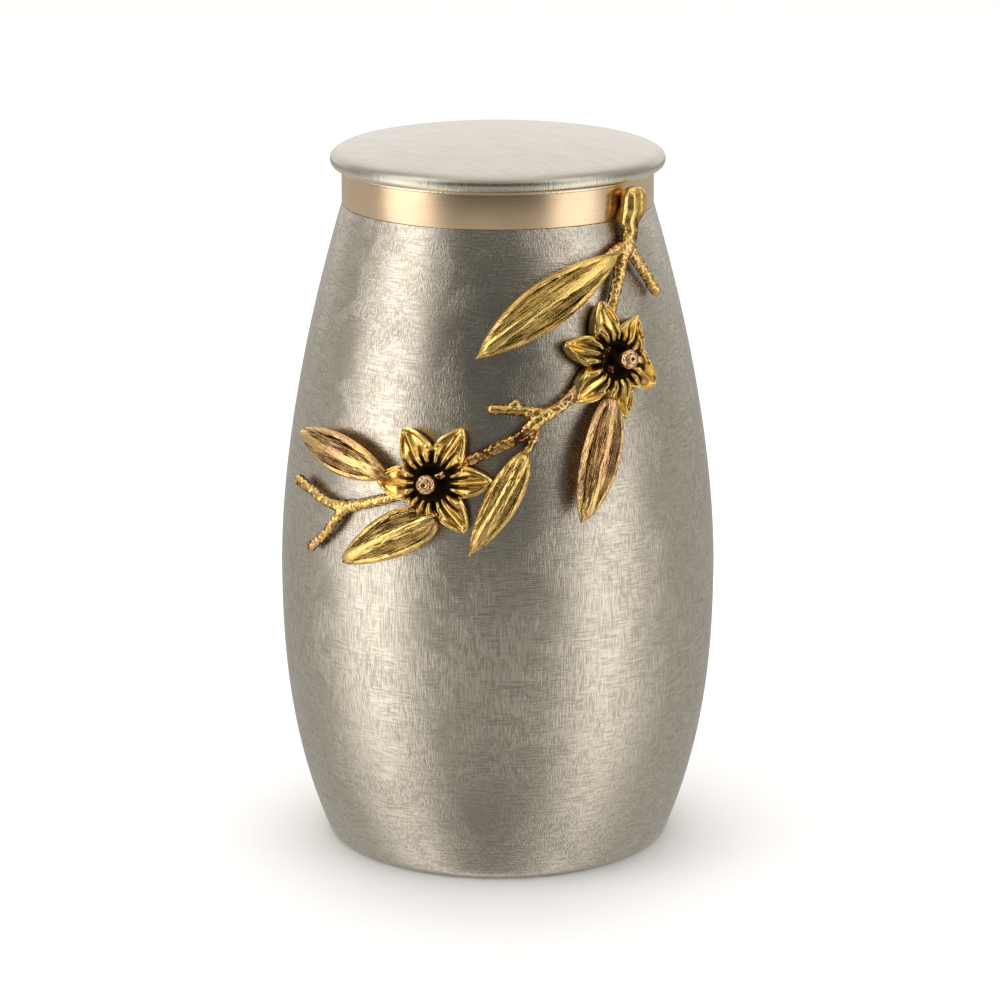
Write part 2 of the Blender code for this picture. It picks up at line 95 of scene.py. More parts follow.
# Branch: a point is (degrees round the vessel from -Y, drop from the shoulder, height off the skin, radius)
STEM = (
    (51.7, -0.0086, 0.0047, 0.0041),
    (51.4, -0.0040, 0.0046, 0.0043),
    (50.2, 0.0010, 0.0042, 0.0034),
    (48.9, 0.0050, 0.0036, 0.0029),
    (46.8, 0.0085, 0.0035, 0.0030),
    (43.2, 0.0125, 0.0035, 0.0024),
    (39.4, 0.0205, 0.0035, 0.0021),
    (36.2, 0.0275, 0.0034, 0.0020),
    (33.6, 0.0370, 0.0032, 0.0020),
    (30.6, 0.0430, 0.0030, 0.0020),
    (26.5, 0.0480, 0.0030, 0.0020),
    (22.4, 0.0528, 0.0030, 0.0020),
    (17.4, 0.0580, 0.0031, 0.0020),
    (10.6, 0.0625, 0.0032, 0.0024),
    (6.6, 0.0672, 0.0032, 0.0021),
    (0.6, 0.0710, 0.0030, 0.0020),
    (-5.8, 0.0750, 0.0030, 0.0019),
    (-13.0, 0.0800, 0.0030, 0.0019),
    (-20.5, 0.0858, 0.0030, 0.0019),
    (-28.1, 0.0903, 0.0030, 0.0019),
    (-35.1, 0.0934, 0.0030, 0.0019),
    (-42.2, 0.0962, 0.0030, 0.0022),
    (-48.1, 0.0962, 0.0030, 0.0018),
    (-55.2, 0.0941, 0.0030, 0.0018),
    (-62.3, 0.0925, 0.0030, 0.0020),
)
TWIGS = (
    ((46.8, 0.0085, 0.0035, 0.0026), (49.0, 0.0125, 0.0033, 0.0021), (52.9, 0.0186, 0.0030, 0.0019),
     (57.0, 0.0254, 0.0029, 0.0020)),
    ((12.6, 0.0610, 0.0032, 0.0020), (8.2, 0.0594, 0.0031, 0.0019), (3.4, 0.0590, 0.0030, 0.0018),
     (-1.6, 0.0587, 0.0030, 0.0018)),
    ((3.2, 0.0590, 0.0030, 0.0017), (4.9, 0.0568, 0.0034, 0.0016)),
    ((-41.4, 0.0955, 0.0030, 0.0020), (-44.8, 0.1013, 0.0030, 0.0018), (-48.2, 0.1068, 0.0030, 0.0017),
     (-54.2, 0.1135, 0.0029, 0.0019)),
)
LEAF_STALKS = (
    ((46.2, 0.0085, 0.0035, 0.0024), (41.5, 0.0094, 0.0038, 0.0019), (35.6, 0.0117, 0.0042, 0.0017),
     (28.4, 0.0142, 0.0045, 0.0018)),
    ((10.2, 0.0630, 0.0032, 0.0020), (9.6, 0.0678, 0.0034, 0.0015), (6.7, 0.0736, 0.0038, 0.0014)),
    ((33.2, 0.0440, 0.0032, 0.0018), (31.2, 0.0585, 0.0028, 0.0015)),
    ((-20.0, 0.0845, 0.0032, 0.0017), (-28.5, 0.0832, 0.0038, 0.0015)),
    ((-18.5, 0.0845, 0.0032, 0.0017), (-15.6, 0.0950, 0.0036, 0.0015)),
)
TUBE_RADIUS = 0.001  # a tube's plain radius, which its points scale to their own
STEM_VOXEL = 0.00042
PEBBLE_SCALE = 800.0
PEBBLE_HEIGHT = 0.00034
LUMP_SCALE = 330.0
LUMP_HEIGHT = 0.00022
KNOB_END = ((0.38, 0.90), (0.66, 0.66), (0.80, 0.30))  # (reach past the end, radius), in radii

# Stub: the stem's smooth top end, which is spread wide and has a groove down its front
STUB_BEARING = 51.6
STUB_START = 0.0035  # drop at which the bark ends
STUB_FADE = 0.0040
STUB_SPREAD = 0.26
STUB_GROOVE_ASIDE = 0.0004
STUB_GROOVE_WIDTH = 0.0020
STUB_GROOVE_DEPTH = 0.0012

# Copper stains on the stem: (degrees, spread in degrees, drop at the upper end)
STAINS = ((1.0, 9.0, 0.0625), (30.0, 4.5, 0.0380))
STAIN_FADE = 0.0030
STUB_STAIN = (50.0, 2.5, 0.0045, 0.0040)  # degrees and their spread, drop and its spread

# Leaves: foot and tip are (degrees, drop, height off the skin) of the midrib
# A leaf's shade picks the half of its blade that takes painted shade
LEAVES = {
    "top_leaf": {
        "foot": (41.5, 0.0100, 0.0048), "tip": (-5.9, 0.0420, 0.0032), "width": 0.0136, "bow": 0.0030,
        "arch": 0.0012, "swell": 1.26, "taper": 1.08, "patina": -0.25, "shade": -1.0,
    },
    "middle_leaf": {
        "foot": (7.2, 0.0724, 0.0038), "tip": (-6.9, 0.1077, 0.0032), "width": 0.0096, "bow": -0.0004,
        "arch": 0.0012, "swell": 0.73, "taper": 1.02, "patina": 0.20, "shade": -1.0,
    },
    "flower_leaf": {
        "foot": (31.3, 0.0570, 0.0034), "tip": (20.1, 0.0972, 0.0058), "width": 0.0122, "bow": 0.0002,
        "arch": 0.0020, "swell": 0.60, "taper": 0.82, "patina": 0.72, "shade": 0.5,
    },
    "left_leaf": {
        "foot": (-27.7, 0.0832, 0.0038), "tip": (-63.0, 0.0748, 0.0034), "width": 0.0121, "bow": 0.0012,
        "arch": 0.0012, "swell": 1.00, "taper": 1.26, "patina": 0.62, "shade": 0.3,
    },
    "bottom_leaf": {
        "foot": (-15.6, 0.0952, 0.0036), "tip": (-41.0, 0.1152, 0.0032), "width": 0.0138, "bow": 0.0008,
        "arch": 0.0012, "swell": 0.45, "taper": 0.95, "patina": 0.30, "shade": 1.0,
    },
}
LEAF_END_WIDTH = 0.0012
LEAF_ROWS = 66
LEAF_COLUMNS = 52
LEAF_CROWDING = 0.95  # exponent that spaces the columns from the midrib to the rim
LEAF_FULL_WIDTH = 0.0032  # half width from which a blade has its full relief
LEAF_ROOF = 0.00070
LEAF_RIM = 0.00070
LEAF_RIM_WIDTH = 0.00040
LEAF_RIB = 0.00042
LEAF_RIB_WIDTH = 0.00040
LEAF_GROOVE = 0.00032  # beside the midrib
LEAF_GROOVE_ASIDE = 0.00070
LEAF_GROOVE_WIDTH = 0.00030
LEAF_DISH = 0.00022
LEAF_EDGE_FALL = 0.00050

# Flowers: a petal is (degrees from the flower's right to its top, reach of its tip, reach of the next notch)
FLOWERS = {
    "upper_flower": ((33.3, 0.0450), (
        (-141.0, 0.0203, 0.0112), (-84.0, 0.0204, 0.0118), (-31.0, 0.0208, 0.0150),
        (44.0, 0.0192, 0.0110), (95.0, 0.0205, 0.0110), (158.0, 0.0193, 0.0104),
    )),
    "lower_flower": ((-15.9, 0.0832), (
        (-112.5, 0.0192, 0.0116), (-55.5, 0.0202, 0.0112), (2.0, 0.0203, 0.0110),
        (62.0, 0.0207, 0.0106), (126.0, 0.0212, 0.0126), (185.0, 0.0212, 0.0114),
    )),
}
PETAL_TAPER = 0.0102
PETAL_POINT = 1.05
PETAL_BLUNT = 0.10
PETAL_COLUMNS = 34
FACE_RINGS = 34
WALL_RINGS = 5
PETAL_TIP_HEIGHT = 0.0050
PETAL_CREST_HEIGHT = 0.0086
PETAL_CREST_SHARE = 0.25
PETAL_VALLEY = 0.0022
PETAL_VALLEY_POWER = 4
PETAL_BACK_HEIGHT = 0.0013
PETAL_BACK_INSET = 0.0010
PETAL_CROWDING = 1.2  # exponent that draws the columns to the midribs
FACE_CROWDING = 1.25  # exponent that draws the rings to the petals' edges
PETAL_RIM = 0.00045
PETAL_RIM_WIDTH = 0.0013
PETAL_RIB = 0.00055
PETAL_RIB_WIDTH = 0.00042
PETAL_DISH = 0.00120
PETAL_FOLD = 0.00050
PETAL_FOLDS = 1.62  # waves between a midrib and a notch
PETAL_FOLDS_UNEVEN = 0.10
PETAL_EDGE_FALL = 0.00045
PETAL_PATINA = 0.12
DEEP_SOOT_AND_SHADE = 1.6  # soot and painted shade in the throats, painted shade under the petals and on the pistils' stalks
THROAT_RADIUS = 0.0056
THROAT_FLOOR_RADIUS = 0.0040
THROAT_RIM_HEIGHT = 0.0072
THROAT_FLOOR_HEIGHT = 0.0035
CALYX_RADIUS = 0.0065
CALYX_FOOT_RADIUS = 0.0055
CALYX_GAP = 0.0004
PISTIL_HEAD_HEIGHT = 0.0148
PISTIL_HEAD_RADIUS = 0.0033
PISTIL_HEAD_RISE = 0.0023
PISTIL_HEAD_DROP = 0.0056
PISTIL_STALK_LENGTH = 0.0125
PISTIL_STALK_RADII = (0.0018, 0.0014)
PISTIL_PIT = 0.00042
PISTIL_RING = 0.00010
PISTIL_DIMPLE = 0.00045

# Colours of the casting that differ from the gold and from the dark colour of its soot and painted shade
PISTIL_GOLD = (0.82, 0.53, 0.28)
BARK_SOOT_AND_SHADE = (0.085, 0.030, 0.018)

# Stage
FLOOR_HEIGHT = -0.0004
FLOOR_COLORS = ((0.93, 0.925, 0.92), (0.90, 0.895, 0.89))
LAMP_HEIGHT = 2.5
LAMP_SIZE = 3.0
CAMERA_PLACE = (0.0008, -1.2876, 0.4682)
CAMERA_TILT = 15.06  # degrees down
CAMERA_LENS = 133.2
CAMERA_SENSOR = 36.0

# Studio: a glow is (degrees, degrees, light at the first, light at the second)
FRONT_GLOWS = (
    (-20.0, 5.0, 0.43, 0.10),
    (-28.0, -52.0, 0.0, -0.19),
    (-66.0, -82.0, 0.0, 0.65),
    (24.0, 42.0, 0.0, 0.40),
)
SIDE_GLOW = (26.0, 62.0, 0.0, 0.20)
REAR_GLOW = 0.50
OVERHEAD_GLOW = (60.0, 80.0, 0.0, 0.55)
WALL_GLOW = (88.0, 60.0, 0.0, 0.75)
PANEL_TOP = (62.0, 48.0)
PANELS = ((-69.0, 19.0, 9.0, 0.70, 1.70), (59.0, 18.0, 10.0, 0.62, 1.15))  # (bearing, half, softness, light)
DIM_LIGHT = (1.0, 0.99, 0.94, 1.0)
BRIGHT_LIGHT = (1.0, 0.98, 0.96, 1.0)
WHITE = (1.0, 1.0, 1.0, 1.0)


def length_setting(name, description, default, least):
    return bpy.props.FloatProperty(
        name=name, description=description, default=default, min=least, unit="LENGTH", precision=4
    )


def color_setting(name, description, default):
    return bpy.props.FloatVectorProperty(
        name=name, description=description, subtype="COLOR", size=3, min=0.0, max=1.0, default=default
    )


class UrnVesselSettings(bpy.types.PropertyGroup):
    height: length_setting("Height", "Underside to shoulder", 0.2310, 0.1)
    foot_radius: length_setting("Foot radius", "Radius of the foot", 0.0618, 0.02)
    belly_radius: length_setting("Belly radius", "Greatest radius", 0.0780, 0.03)
    shoulder_radius: length_setting("Shoulder radius", "Radius of the shoulder and the band", 0.0550, 0.02)
    wall: length_setting("Wall", "Thickness of the metal", 0.0015, 0.0005)
    pewter: color_setting("Pewter", "Colour of the brushed metal", (0.68, 0.615, 0.515))
    tarnish: color_setting("Tarnish", "Colour in the brush marks", (0.35, 0.32, 0.25))
    stroke: length_setting("Brush stroke", "Length of a brush mark", 0.0058, 0.001)


class UrnBandSettings(bpy.types.PropertyGroup):
    height: length_setting("Height", "Height of the collar", 0.0114, 0.002)
    thickness: length_setting("Thickness", "Thickness of the collar", 0.0015, 0.0005)
    bronze: color_setting("Bronze", "Colour of the smooth metal", (0.86, 0.64, 0.42))


class UrnLidSettings(bpy.types.PropertyGroup):
    radius: length_setting("Radius", "Greatest radius of the rolled edge", 0.0590, 0.02)
    crest_radius: length_setting("Crest radius", "Where the rolled edge becomes the crown", 0.0515, 0.01)
    crown_rise: length_setting("Crown rise", "Height of the crown over the crest", 0.0050, 0.0)
    wall: length_setting("Wall", "Thickness of the metal", 0.0016, 0.0005)
    skirt_depth: length_setting("Skirt depth", "How far the skirt drops into the neck", 0.0120, 0.002)
    pewter: color_setting("Pewter", "Colour of the satin metal", (0.59, 0.555, 0.50))


class UrnBranchSettings(bpy.types.PropertyGroup):
    gold: color_setting("Gold", "Colour of the rubbed high places", (0.90, 0.62, 0.20))
    copper: color_setting("Copper", "Colour of the patina", (0.80, 0.47, 0.25))
    # This dark colour serves for soot in the recesses and also as painted shade under and behind the
    # casting's parts
    dark_soot_and_shade: color_setting("Soot And Shade Colour", "Colour of the recesses", (0.036, 0.019, 0.009))
    leaf_thickness: length_setting("Leaf thickness", "Thickness of a blade", 0.0024, 0.0005)


class UrnStageSettings(bpy.types.PropertyGroup):
    floor_radius: bpy.props.FloatProperty(
        name="Floor radius", description="Radius of the pale floor", default=4.0, min=0.5, unit="LENGTH"
    )
    lamp_power: bpy.props.FloatProperty(
        name="Lamp power", description="Power of the lamp overhead", default=38.0, min=0.0, unit="POWER"
    )


def skin_radius(vessel, height):
    """Radius of the vessel's outside at a height, or of the band above the shoulder."""
    if height >= vessel.height:
        return vessel.shoulder_radius
    if height >= BELLY_HEIGHT:
        share = (height - BELLY_HEIGHT) / (vessel.height - BELLY_HEIGHT)
        return vessel.belly_radius - (vessel.belly_radius - vessel.shoulder_radius) * share**FULLNESS_ABOVE
    share = (BELLY_HEIGHT - height) / BELLY_HEIGHT
    return vessel.belly_radius - (vessel.belly_radius - vessel.foot_radius) * share**FULLNESS_BELOW


def skin_frame(vessel, degrees, drop):
    """A frame on the skin: X goes round the vessel, Y up along it and Z straight out."""
    height = vessel.height - drop
    slope = 0.0
    if height < vessel.height:
        slope = (skin_radius(vessel, height) - skin_radius(vessel, height - SLOPE_STEP)) / SLOPE_STEP
    angle = math.radians(degrees)
    outward = Vector((math.sin(angle), -math.cos(angle), 0.0))
    around = Vector((math.cos(angle), math.sin(angle), 0.0))
    upward = (outward * slope + Vector((0.0, 0.0, 1.0))).normalized()
    placed = Matrix((around, upward, around.cross(upward))).transposed().to_4x4()
    placed.translation = outward * skin_radius(vessel, height) + Vector((0.0, 0.0, height))
    return placed


def skin_point(vessel, degrees, drop, off_skin):
    return skin_frame(vessel, degrees, drop) @ Vector((0.0, 0.0, off_skin))


def bell(distance, width):
    """A rounded bump of height 1 whose flanks reach about one and a half widths."""
    return math.exp(-((distance / width) ** 2))


def smooth(value):
    """An S-shaped step from 0 to 1."""
    value = min(1.0, max(0.0, value))
    return value * value * (3.0 - 2.0 * value)


def deselect_all():
    if bpy.context.object and bpy.context.object.mode != "OBJECT":
        bpy.ops.object.mode_set(mode="OBJECT")
    bpy.ops.object.select_all(action="DESELECT")


def select_only(items):
    deselect_all()
    for item in items:
        item.select_set(True)
    bpy.context.view_layer.objects.active = items[0]


def apply_modifier(item, kind, **settings):
    select_only([item])
    modifier = item.modifiers.new(kind.title(), kind)
    for key, value in settings.items():
        setattr(modifier, key, value)
    bpy.ops.object.modifier_apply(modifier=modifier.name)


def finish_piece(item, name, material, sharp_from=40.0):
    select_only([item])
    bpy.ops.object.shade_smooth_by_angle(angle=math.radians(sharp_from))
    item.name = name
    item.data.name = name
    item.data.materials.clear()
    item.data.materials.append(material)


def set_attribute(mesh, name, values):
    layer = mesh.attributes.get(name) or mesh.attributes.new(name, "FLOAT", "POINT")
    layer.data.foreach_set("value", values)


def curve_between(start, corner, end, steps):
    """Points of a rounded corner after its start, up to and with its end."""
    points = []
    for i in range(1, steps + 1):
        t = i / steps
        shares = ((1 - t) ** 2, 2 * t * (1 - t), t**2)
        ways = zip(start, corner, end)
        points.append(tuple(sum(share * value for share, value in zip(shares, values)) for values in ways))
    return points


def drawn_up(outline, is_ring=False):
    """Draws a disc, or a bare circle, from point to point of a turned piece's outline."""
    deselect_all()
    radius, height = outline[0]
    fill = "NOTHING" if is_ring else "NGON"
    bpy.ops.mesh.primitive_circle_add(
        vertices=RING_SIDES, radius=radius, fill_type=fill, location=(0.0, 0.0, height)
    )
    item = bpy.context.object
    bpy.ops.object.transform_apply(location=True, rotation=False, scale=False)
    bpy.ops.object.mode_set(mode="EDIT")
    bpy.ops.mesh.select_all(action="SELECT")
    for radius_next, height_next in outline[1:]:
        bpy.ops.mesh.extrude_region_move(TRANSFORM_OT_translate={"value": (0.0, 0.0, height_next - height)})
        if radius_next != radius:
            grown = radius_next / radius
            bpy.ops.transform.resize(value=(grown, grown, 1.0), center_override=(0.0, 0.0, height_next))
        radius, height = radius_next, height_next
    if is_ring:
        bpy.ops.mesh.select_all(action="SELECT")
        bpy.ops.mesh.remove_doubles(threshold=MERGE_DISTANCE)
    bpy.ops.mesh.select_all(action="SELECT")
    bpy.ops.mesh.normals_make_consistent(inside=False)
    bpy.ops.object.mode_set(mode="OBJECT")
    return item


def add_node(tree, kind, inputs=None, **settings):
    """A node whose inputs are values or other nodes' outputs."""
    item = tree.nodes.new(kind)
    for key, value in settings.items():
        setattr(item, key, value)
    for key, value in (inputs or {}).items():
        if isinstance(value, bpy.types.NodeSocket):
            tree.links.new(value, item.inputs[key])
        else:
            item.inputs[key].default_value = value
    return item


def maths(tree, operation, first, second=0.0, third=0.0, clamp=False):
    inputs = {0: first, 1: second, 2: third}
    return add_node(tree, "ShaderNodeMath", inputs, operation=operation, use_clamp=clamp).outputs[0]


def added(tree, first, *others):
    for other in others:
        first = maths(tree, "ADD", first, other)
    return first


def scaled(tree, value, factor):
    return maths(tree, "MULTIPLY", value, factor)


def swing(tree, mask, reach):
    """Turns a mask that lies round a half into a value that swings round zero."""
    return scaled(tree, maths(tree, "SUBTRACT", mask, 0.5), reach)


def vector_maths(tree, operation, first, second):
    return add_node(tree, "ShaderNodeVectorMath", {0: first, 1: second}, operation=operation).outputs[0]


def between(tree, value, low, high, out_low=0.0, out_high=1.0):
    """Maps a value smoothly from one span to another, and holds it there."""
    inputs = {"Value": value, "From Min": low, "From Max": high, "To Min": out_low, "To Max": out_high}
    item = add_node(tree, "ShaderNodeMapRange", inputs, interpolation_type="SMOOTHSTEP", clamp=True)
    return item.outputs["Result"]


def noise_value(tree, vector, scale, detail=2.0, roughness=0.5, distortion=0.0):
    inputs = {
        "Vector": vector, "Scale": scale, "Detail": detail, "Roughness": roughness, "Distortion": distortion
    }
    return add_node(tree, "ShaderNodeTexNoise", inputs).outputs["Fac"]


def stretched(tree, vector, scale):
    return add_node(tree, "ShaderNodeMapping", {"Vector": vector, "Scale": scale}).outputs[0]


def mixed(tree, factor, first, second):
    """A blend of two colours."""
    return add_node(tree, "ShaderNodeMix", {0: factor, 6: first, 7: second}, data_type="RGBA").outputs[2]


def mixed_value(tree, factor, first, second):
    return add_node(tree, "ShaderNodeMix", {0: factor, 2: first, 3: second}, data_type="FLOAT").outputs[0]


def attribute(tree, name):
    return add_node(tree, "ShaderNodeAttribute", attribute_name=name).outputs["Fac"]


def opaque(color, tint=(1.0, 1.0, 1.0)):
    """A tinted colour as a socket takes it."""
    return (*(value * share for value, share in zip(color, tint)), 1.0)


def new_group(name, inputs, outputs):
    """An empty shader group; each socket is (name, kind, default)."""
    tree = bpy.data.node_groups.new(name, "ShaderNodeTree")
    for direction, sockets in (("INPUT", inputs), ("OUTPUT", outputs)):
        for socket_name, kind, default in sockets:
            socket_type = f"NodeSocket{kind}"
            socket = tree.interface.new_socket(socket_name, in_out=direction, socket_type=socket_type)
            if default is not None:
                socket.default_value = default
    entry = tree.nodes.new("NodeGroupInput")
    leave = tree.nodes.new("NodeGroupOutput")
    return tree, entry.outputs, leave.inputs


def woven_brushing():
    """Short upright brush marks, with patches where level ones mix in."""
    if "woven_brushing" in bpy.data.node_groups:
        return bpy.data.node_groups["woven_brushing"]
    tree, given, result = new_group(
        "woven_brushing",
        (("Vector", "Vector", None), ("Across", "Float", BRUSH_LINES), ("Along", "Float", 170.0),
         ("Patches", "Float", 95.0)),
        (("Height", "Float", None), ("Marks", "Float", None), ("Sheen", "Float", None)),
    )
    place = given["Vector"]
    across = given["Across"]
    along = given["Along"]
    waver = swing(tree, noise_value(tree, place, 60.0, 1.0), BRUSH_WAVER)
    offset = add_node(tree, "ShaderNodeCombineXYZ", {0: waver, 1: waver, 2: waver}).outputs[0]
    wavering = vector_maths(tree, "ADD", place, offset)
    layers = []
    for order in ((across, across, along), (along, along, across)):
        scale = add_node(tree, "ShaderNodeCombineXYZ", dict(enumerate(order))).outputs[0]
        layers.append(noise_value(tree, vector_maths(tree, "MULTIPLY", wavering, scale), 1.0, 3.0, 0.62))
    patch = noise_value(tree, place, given["Patches"], 2.0, 0.6, 0.6)
    choice = between(tree, patch, 0.42, 0.58, 0.17, 0.64)
    height = mixed_value(tree, choice, layers[0], layers[1])
    wear = between(tree, noise_value(tree, place, 42.0, 2.0, 0.5), 0.35, 0.65, 0.75, 1.25)
    height = added(tree, swing(tree, height, wear), 0.5)
    tree.links.new(height, result["Height"])
    tree.links.new(between(tree, height, 0.40, 0.58), result["Marks"])
    tree.links.new(noise_value(tree, place, 28.0, 3.0, 0.6), result["Sheen"])
    return tree


def cast_finish():
    """Antique casting: rubbed gold on high places, copper patina in patches, and a dark colour for soot in
    the recesses and for painted shade, where the given mask is high.
    """
    if "cast_finish" in bpy.data.node_groups:
        return bpy.data.node_groups["cast_finish"]
    tree, given, result = new_group(
        "cast_finish",
        (("Vector", "Vector", None), ("Gold", "Color", (0.8, 0.5, 0.2, 1.0)),
         ("Copper", "Color", (0.6, 0.3, 0.2, 1.0)), ("Soot And Shade Colour", "Color", (0.05, 0.03, 0.01, 1.0)),
         ("Soot And Shade Amount", "Float", 0.0), ("Patina", "Float", 0.0), ("Grain", "Float", 1400.0),
         ("Speckle", "Float", 1.0)),
        (("Color", "Color", None), ("Roughness", "Float", None), ("Height", "Float", None)),
    )
    place = given["Vector"]
    fine = noise_value(tree, place, given["Grain"], 3.0, 0.6)
    coarse = noise_value(tree, place, 190.0, 3.0, 0.6)
    cloud = noise_value(tree, place, 75.0, 2.0, 0.5)
    dark_soot_and_shade = added(tree, given["Soot And Shade Amount"], swing(tree, fine, given["Speckle"]), swing(tree, coarse, 0.5))
    dark_soot_and_shade = between(tree, dark_soot_and_shade, 0.22, 1.05)
    patina = between(tree, added(tree, given["Patina"], swing(tree, cloud, 1.4)), 0.15, 0.95)
    color = mixed(tree, patina, given["Gold"], given["Copper"])
    deeper = vector_maths(tree, "MULTIPLY", color, color)
    deeper = add_node(tree, "ShaderNodeVectorMath", {0: deeper, 3: 0.42}, operation="SCALE").outputs[0]
    color = mixed(tree, maths(tree, "MULTIPLY", dark_soot_and_shade, 2.0, clamp=True), color, deeper)
    color = mixed(tree, maths(tree, "MULTIPLY_ADD", dark_soot_and_shade, 2.0, -1.0, clamp=True), color, given["Soot And Shade Colour"])
    tree.links.new(color, result["Color"])
    tree.links.new(between(tree, dark_soot_and_shade, 0.0, 1.0, 0.16, 0.80), result["Roughness"])
    tree.links.new(fine, result["Height"])
    return tree


def new_material(name):
    material = bpy.data.materials.new(name)
    material.use_nodes = True
    tree = material.node_tree
    shader = tree.nodes["Principled BSDF"]
    shader.inputs["Metallic"].default_value = 1.0
    place = add_node(tree, "ShaderNodeTexCoord").outputs["Object"]
    return material, tree, shader, place


def add_bump(tree, shader, height, depth):
    bump = add_node(tree, "ShaderNodeBump", {"Height": height, "Distance": depth})
    tree.links.new(bump.outputs["Normal"], shader.inputs["Normal"])


def pewter_material(vessel):
    """Brushed metal, tarnished and rougher in the marks, with a slow drift of tone."""
    material, tree, shader, place = new_material("brushed_pewter")
    inputs = {"Vector": place, "Across": BRUSH_LINES, "Along": 1.0 / vessel.stroke}
    brushing = add_node(tree, "ShaderNodeGroup", inputs, node_tree=woven_brushing()).outputs
    marks = brushing["Marks"]
    sheen = brushing["Sheen"]
    tone = scaled(tree, maths(tree, "SUBTRACT", 1.0, marks), BRUSH_TARNISH)
    tone = maths(tree, "ADD", tone, swing(tree, sheen, 0.25), clamp=True)
    base = mixed(tree, tone, opaque(vessel.pewter), opaque(vessel.tarnish))
    tree.links.new(base, shader.inputs["Base Color"])
    rough = added(tree, between(tree, marks, 0.0, 1.0, *BRUSH_ROUGHNESS), swing(tree, sheen, 0.12))
    tree.links.new(rough, shader.inputs["Roughness"])
    add_bump(tree, shader, brushing["Height"], BRUSH_DEPTH)
    return material


def lid_material(pewter, bottom):
    """Satin crown with faint slanting hairlines, and fine upright marks on the rolled edge, which takes
    painted shade, with a painted highlight on its lip.
    """
    material, tree, shader, place = new_material("lid_satin_pewter")
    height = add_node(tree, "ShaderNodeSeparateXYZ", {0: place}).outputs[2]

    def past(heights):
        upper, lower = heights
        return between(tree, height, bottom + upper, bottom + lower)

    slants = []
    for slant, across, along in HAIRLINES:
        turned = add_node(tree, "ShaderNodeVectorRotate", {"Vector": place, "Angle": math.radians(slant)},
                          rotation_type="Z_AXIS").outputs[0]
        slants.append(noise_value(tree, stretched(tree, turned, (along, across, 60.0)), 1.0, 1.0))
    crown = mixed_value(tree, 0.35, slants[0], slants[1])
    upright = noise_value(tree, stretched(tree, place, (1000.0, 1000.0, 160.0)), 1.0, 2.0, 0.6, 0.5)
    on_edge = past(CROWN_TO_EDGE)
    marks = mixed_value(tree, on_edge, scaled(tree, crown, 0.30), upright)
    cloud = noise_value(tree, place, 40.0, 3.0)
    lines = added(tree, between(tree, crown, 0.42, 0.60, 0.0, 0.22), scaled(tree, cloud, 0.10))
    base = mixed(tree, lines, opaque(pewter), opaque(pewter, (0.70, 0.70, 0.70)))
    # Painted shade on the rolled edge and a painted highlight on the lip
    painted_roll_and_lip = mixed(tree, past(ROLL_TO_LIP), opaque(pewter, ROLL_PAINTED_SHADE), opaque(pewter, LIP_PAINTED_HIGHLIGHT))
    tree.links.new(mixed(tree, past(CROWN_TO_ROLL), base, painted_roll_and_lip), shader.inputs["Base Color"])
    rough = added(tree, between(tree, crown, 0.4, 0.6, 0.34, 0.40), scaled(tree, on_edge, -0.08))
    tree.links.new(rough, shader.inputs["Roughness"])
    add_bump(tree, shader, marks, HAIRLINE_DEPTH)
    return material


def bronze_material(bronze):
    """Smooth metal with hardly visible lines round the collar."""
    material, tree, shader, place = new_material("neck_bronze")
    lengthwise = noise_value(tree, stretched(tree, place, (30.0, 30.0, 2600.0)), 1.0, 2.0)
    cloud = noise_value(tree, place, 45.0, 3.0)
    tone = scaled(tree, between(tree, cloud, 0.35, 0.75), 0.35)
    lines = scaled(tree, between(tree, lengthwise, 0.5, 0.8), 0.25)
    tone = maths(tree, "ADD", tone, lines, clamp=True)
    base = mixed(tree, tone, opaque(bronze), opaque(bronze, (0.62, 0.62, 0.62)))
    tree.links.new(base, shader.inputs["Base Color"])
    tree.links.new(between(tree, cloud, 0.3, 0.8, 0.21, 0.29), shader.inputs["Roughness"])
    add_bump(tree, shader, lengthwise, BAND_LINES_DEPTH)
    return material


def leaf_lines(tree):
    """Engraved veins with finer hairs among them, along the blade."""
    across = add_node(tree, "ShaderNodeUVMap", uv_map="UVMap").outputs["UV"]
    veins = noise_value(tree, stretched(tree, across, (3.5, 38.0, 1.0)), 1.0, 2.0, 0.6)
    hairs = noise_value(tree, stretched(tree, across, (7.0, 90.0, 1.0)), 1.0, 1.0, 0.5)
    return mixed_value(tree, 0.45, between(tree, veins, 0.36, 0.62), between(tree, hairs, 0.36, 0.62))


def bark_pebbles(tree, place):
    """Rounded grains, only where the branch has bark."""
    inputs = {"Vector": place, "Scale": 950.0, "Smoothness": 0.6}
    pebbles = add_node(tree, "ShaderNodeTexVoronoi", inputs, feature="SMOOTH_F1").outputs["Distance"]
    return scaled(tree, maths(tree, "SUBTRACT", 1.0, pebbles), attribute(tree, "bark"))


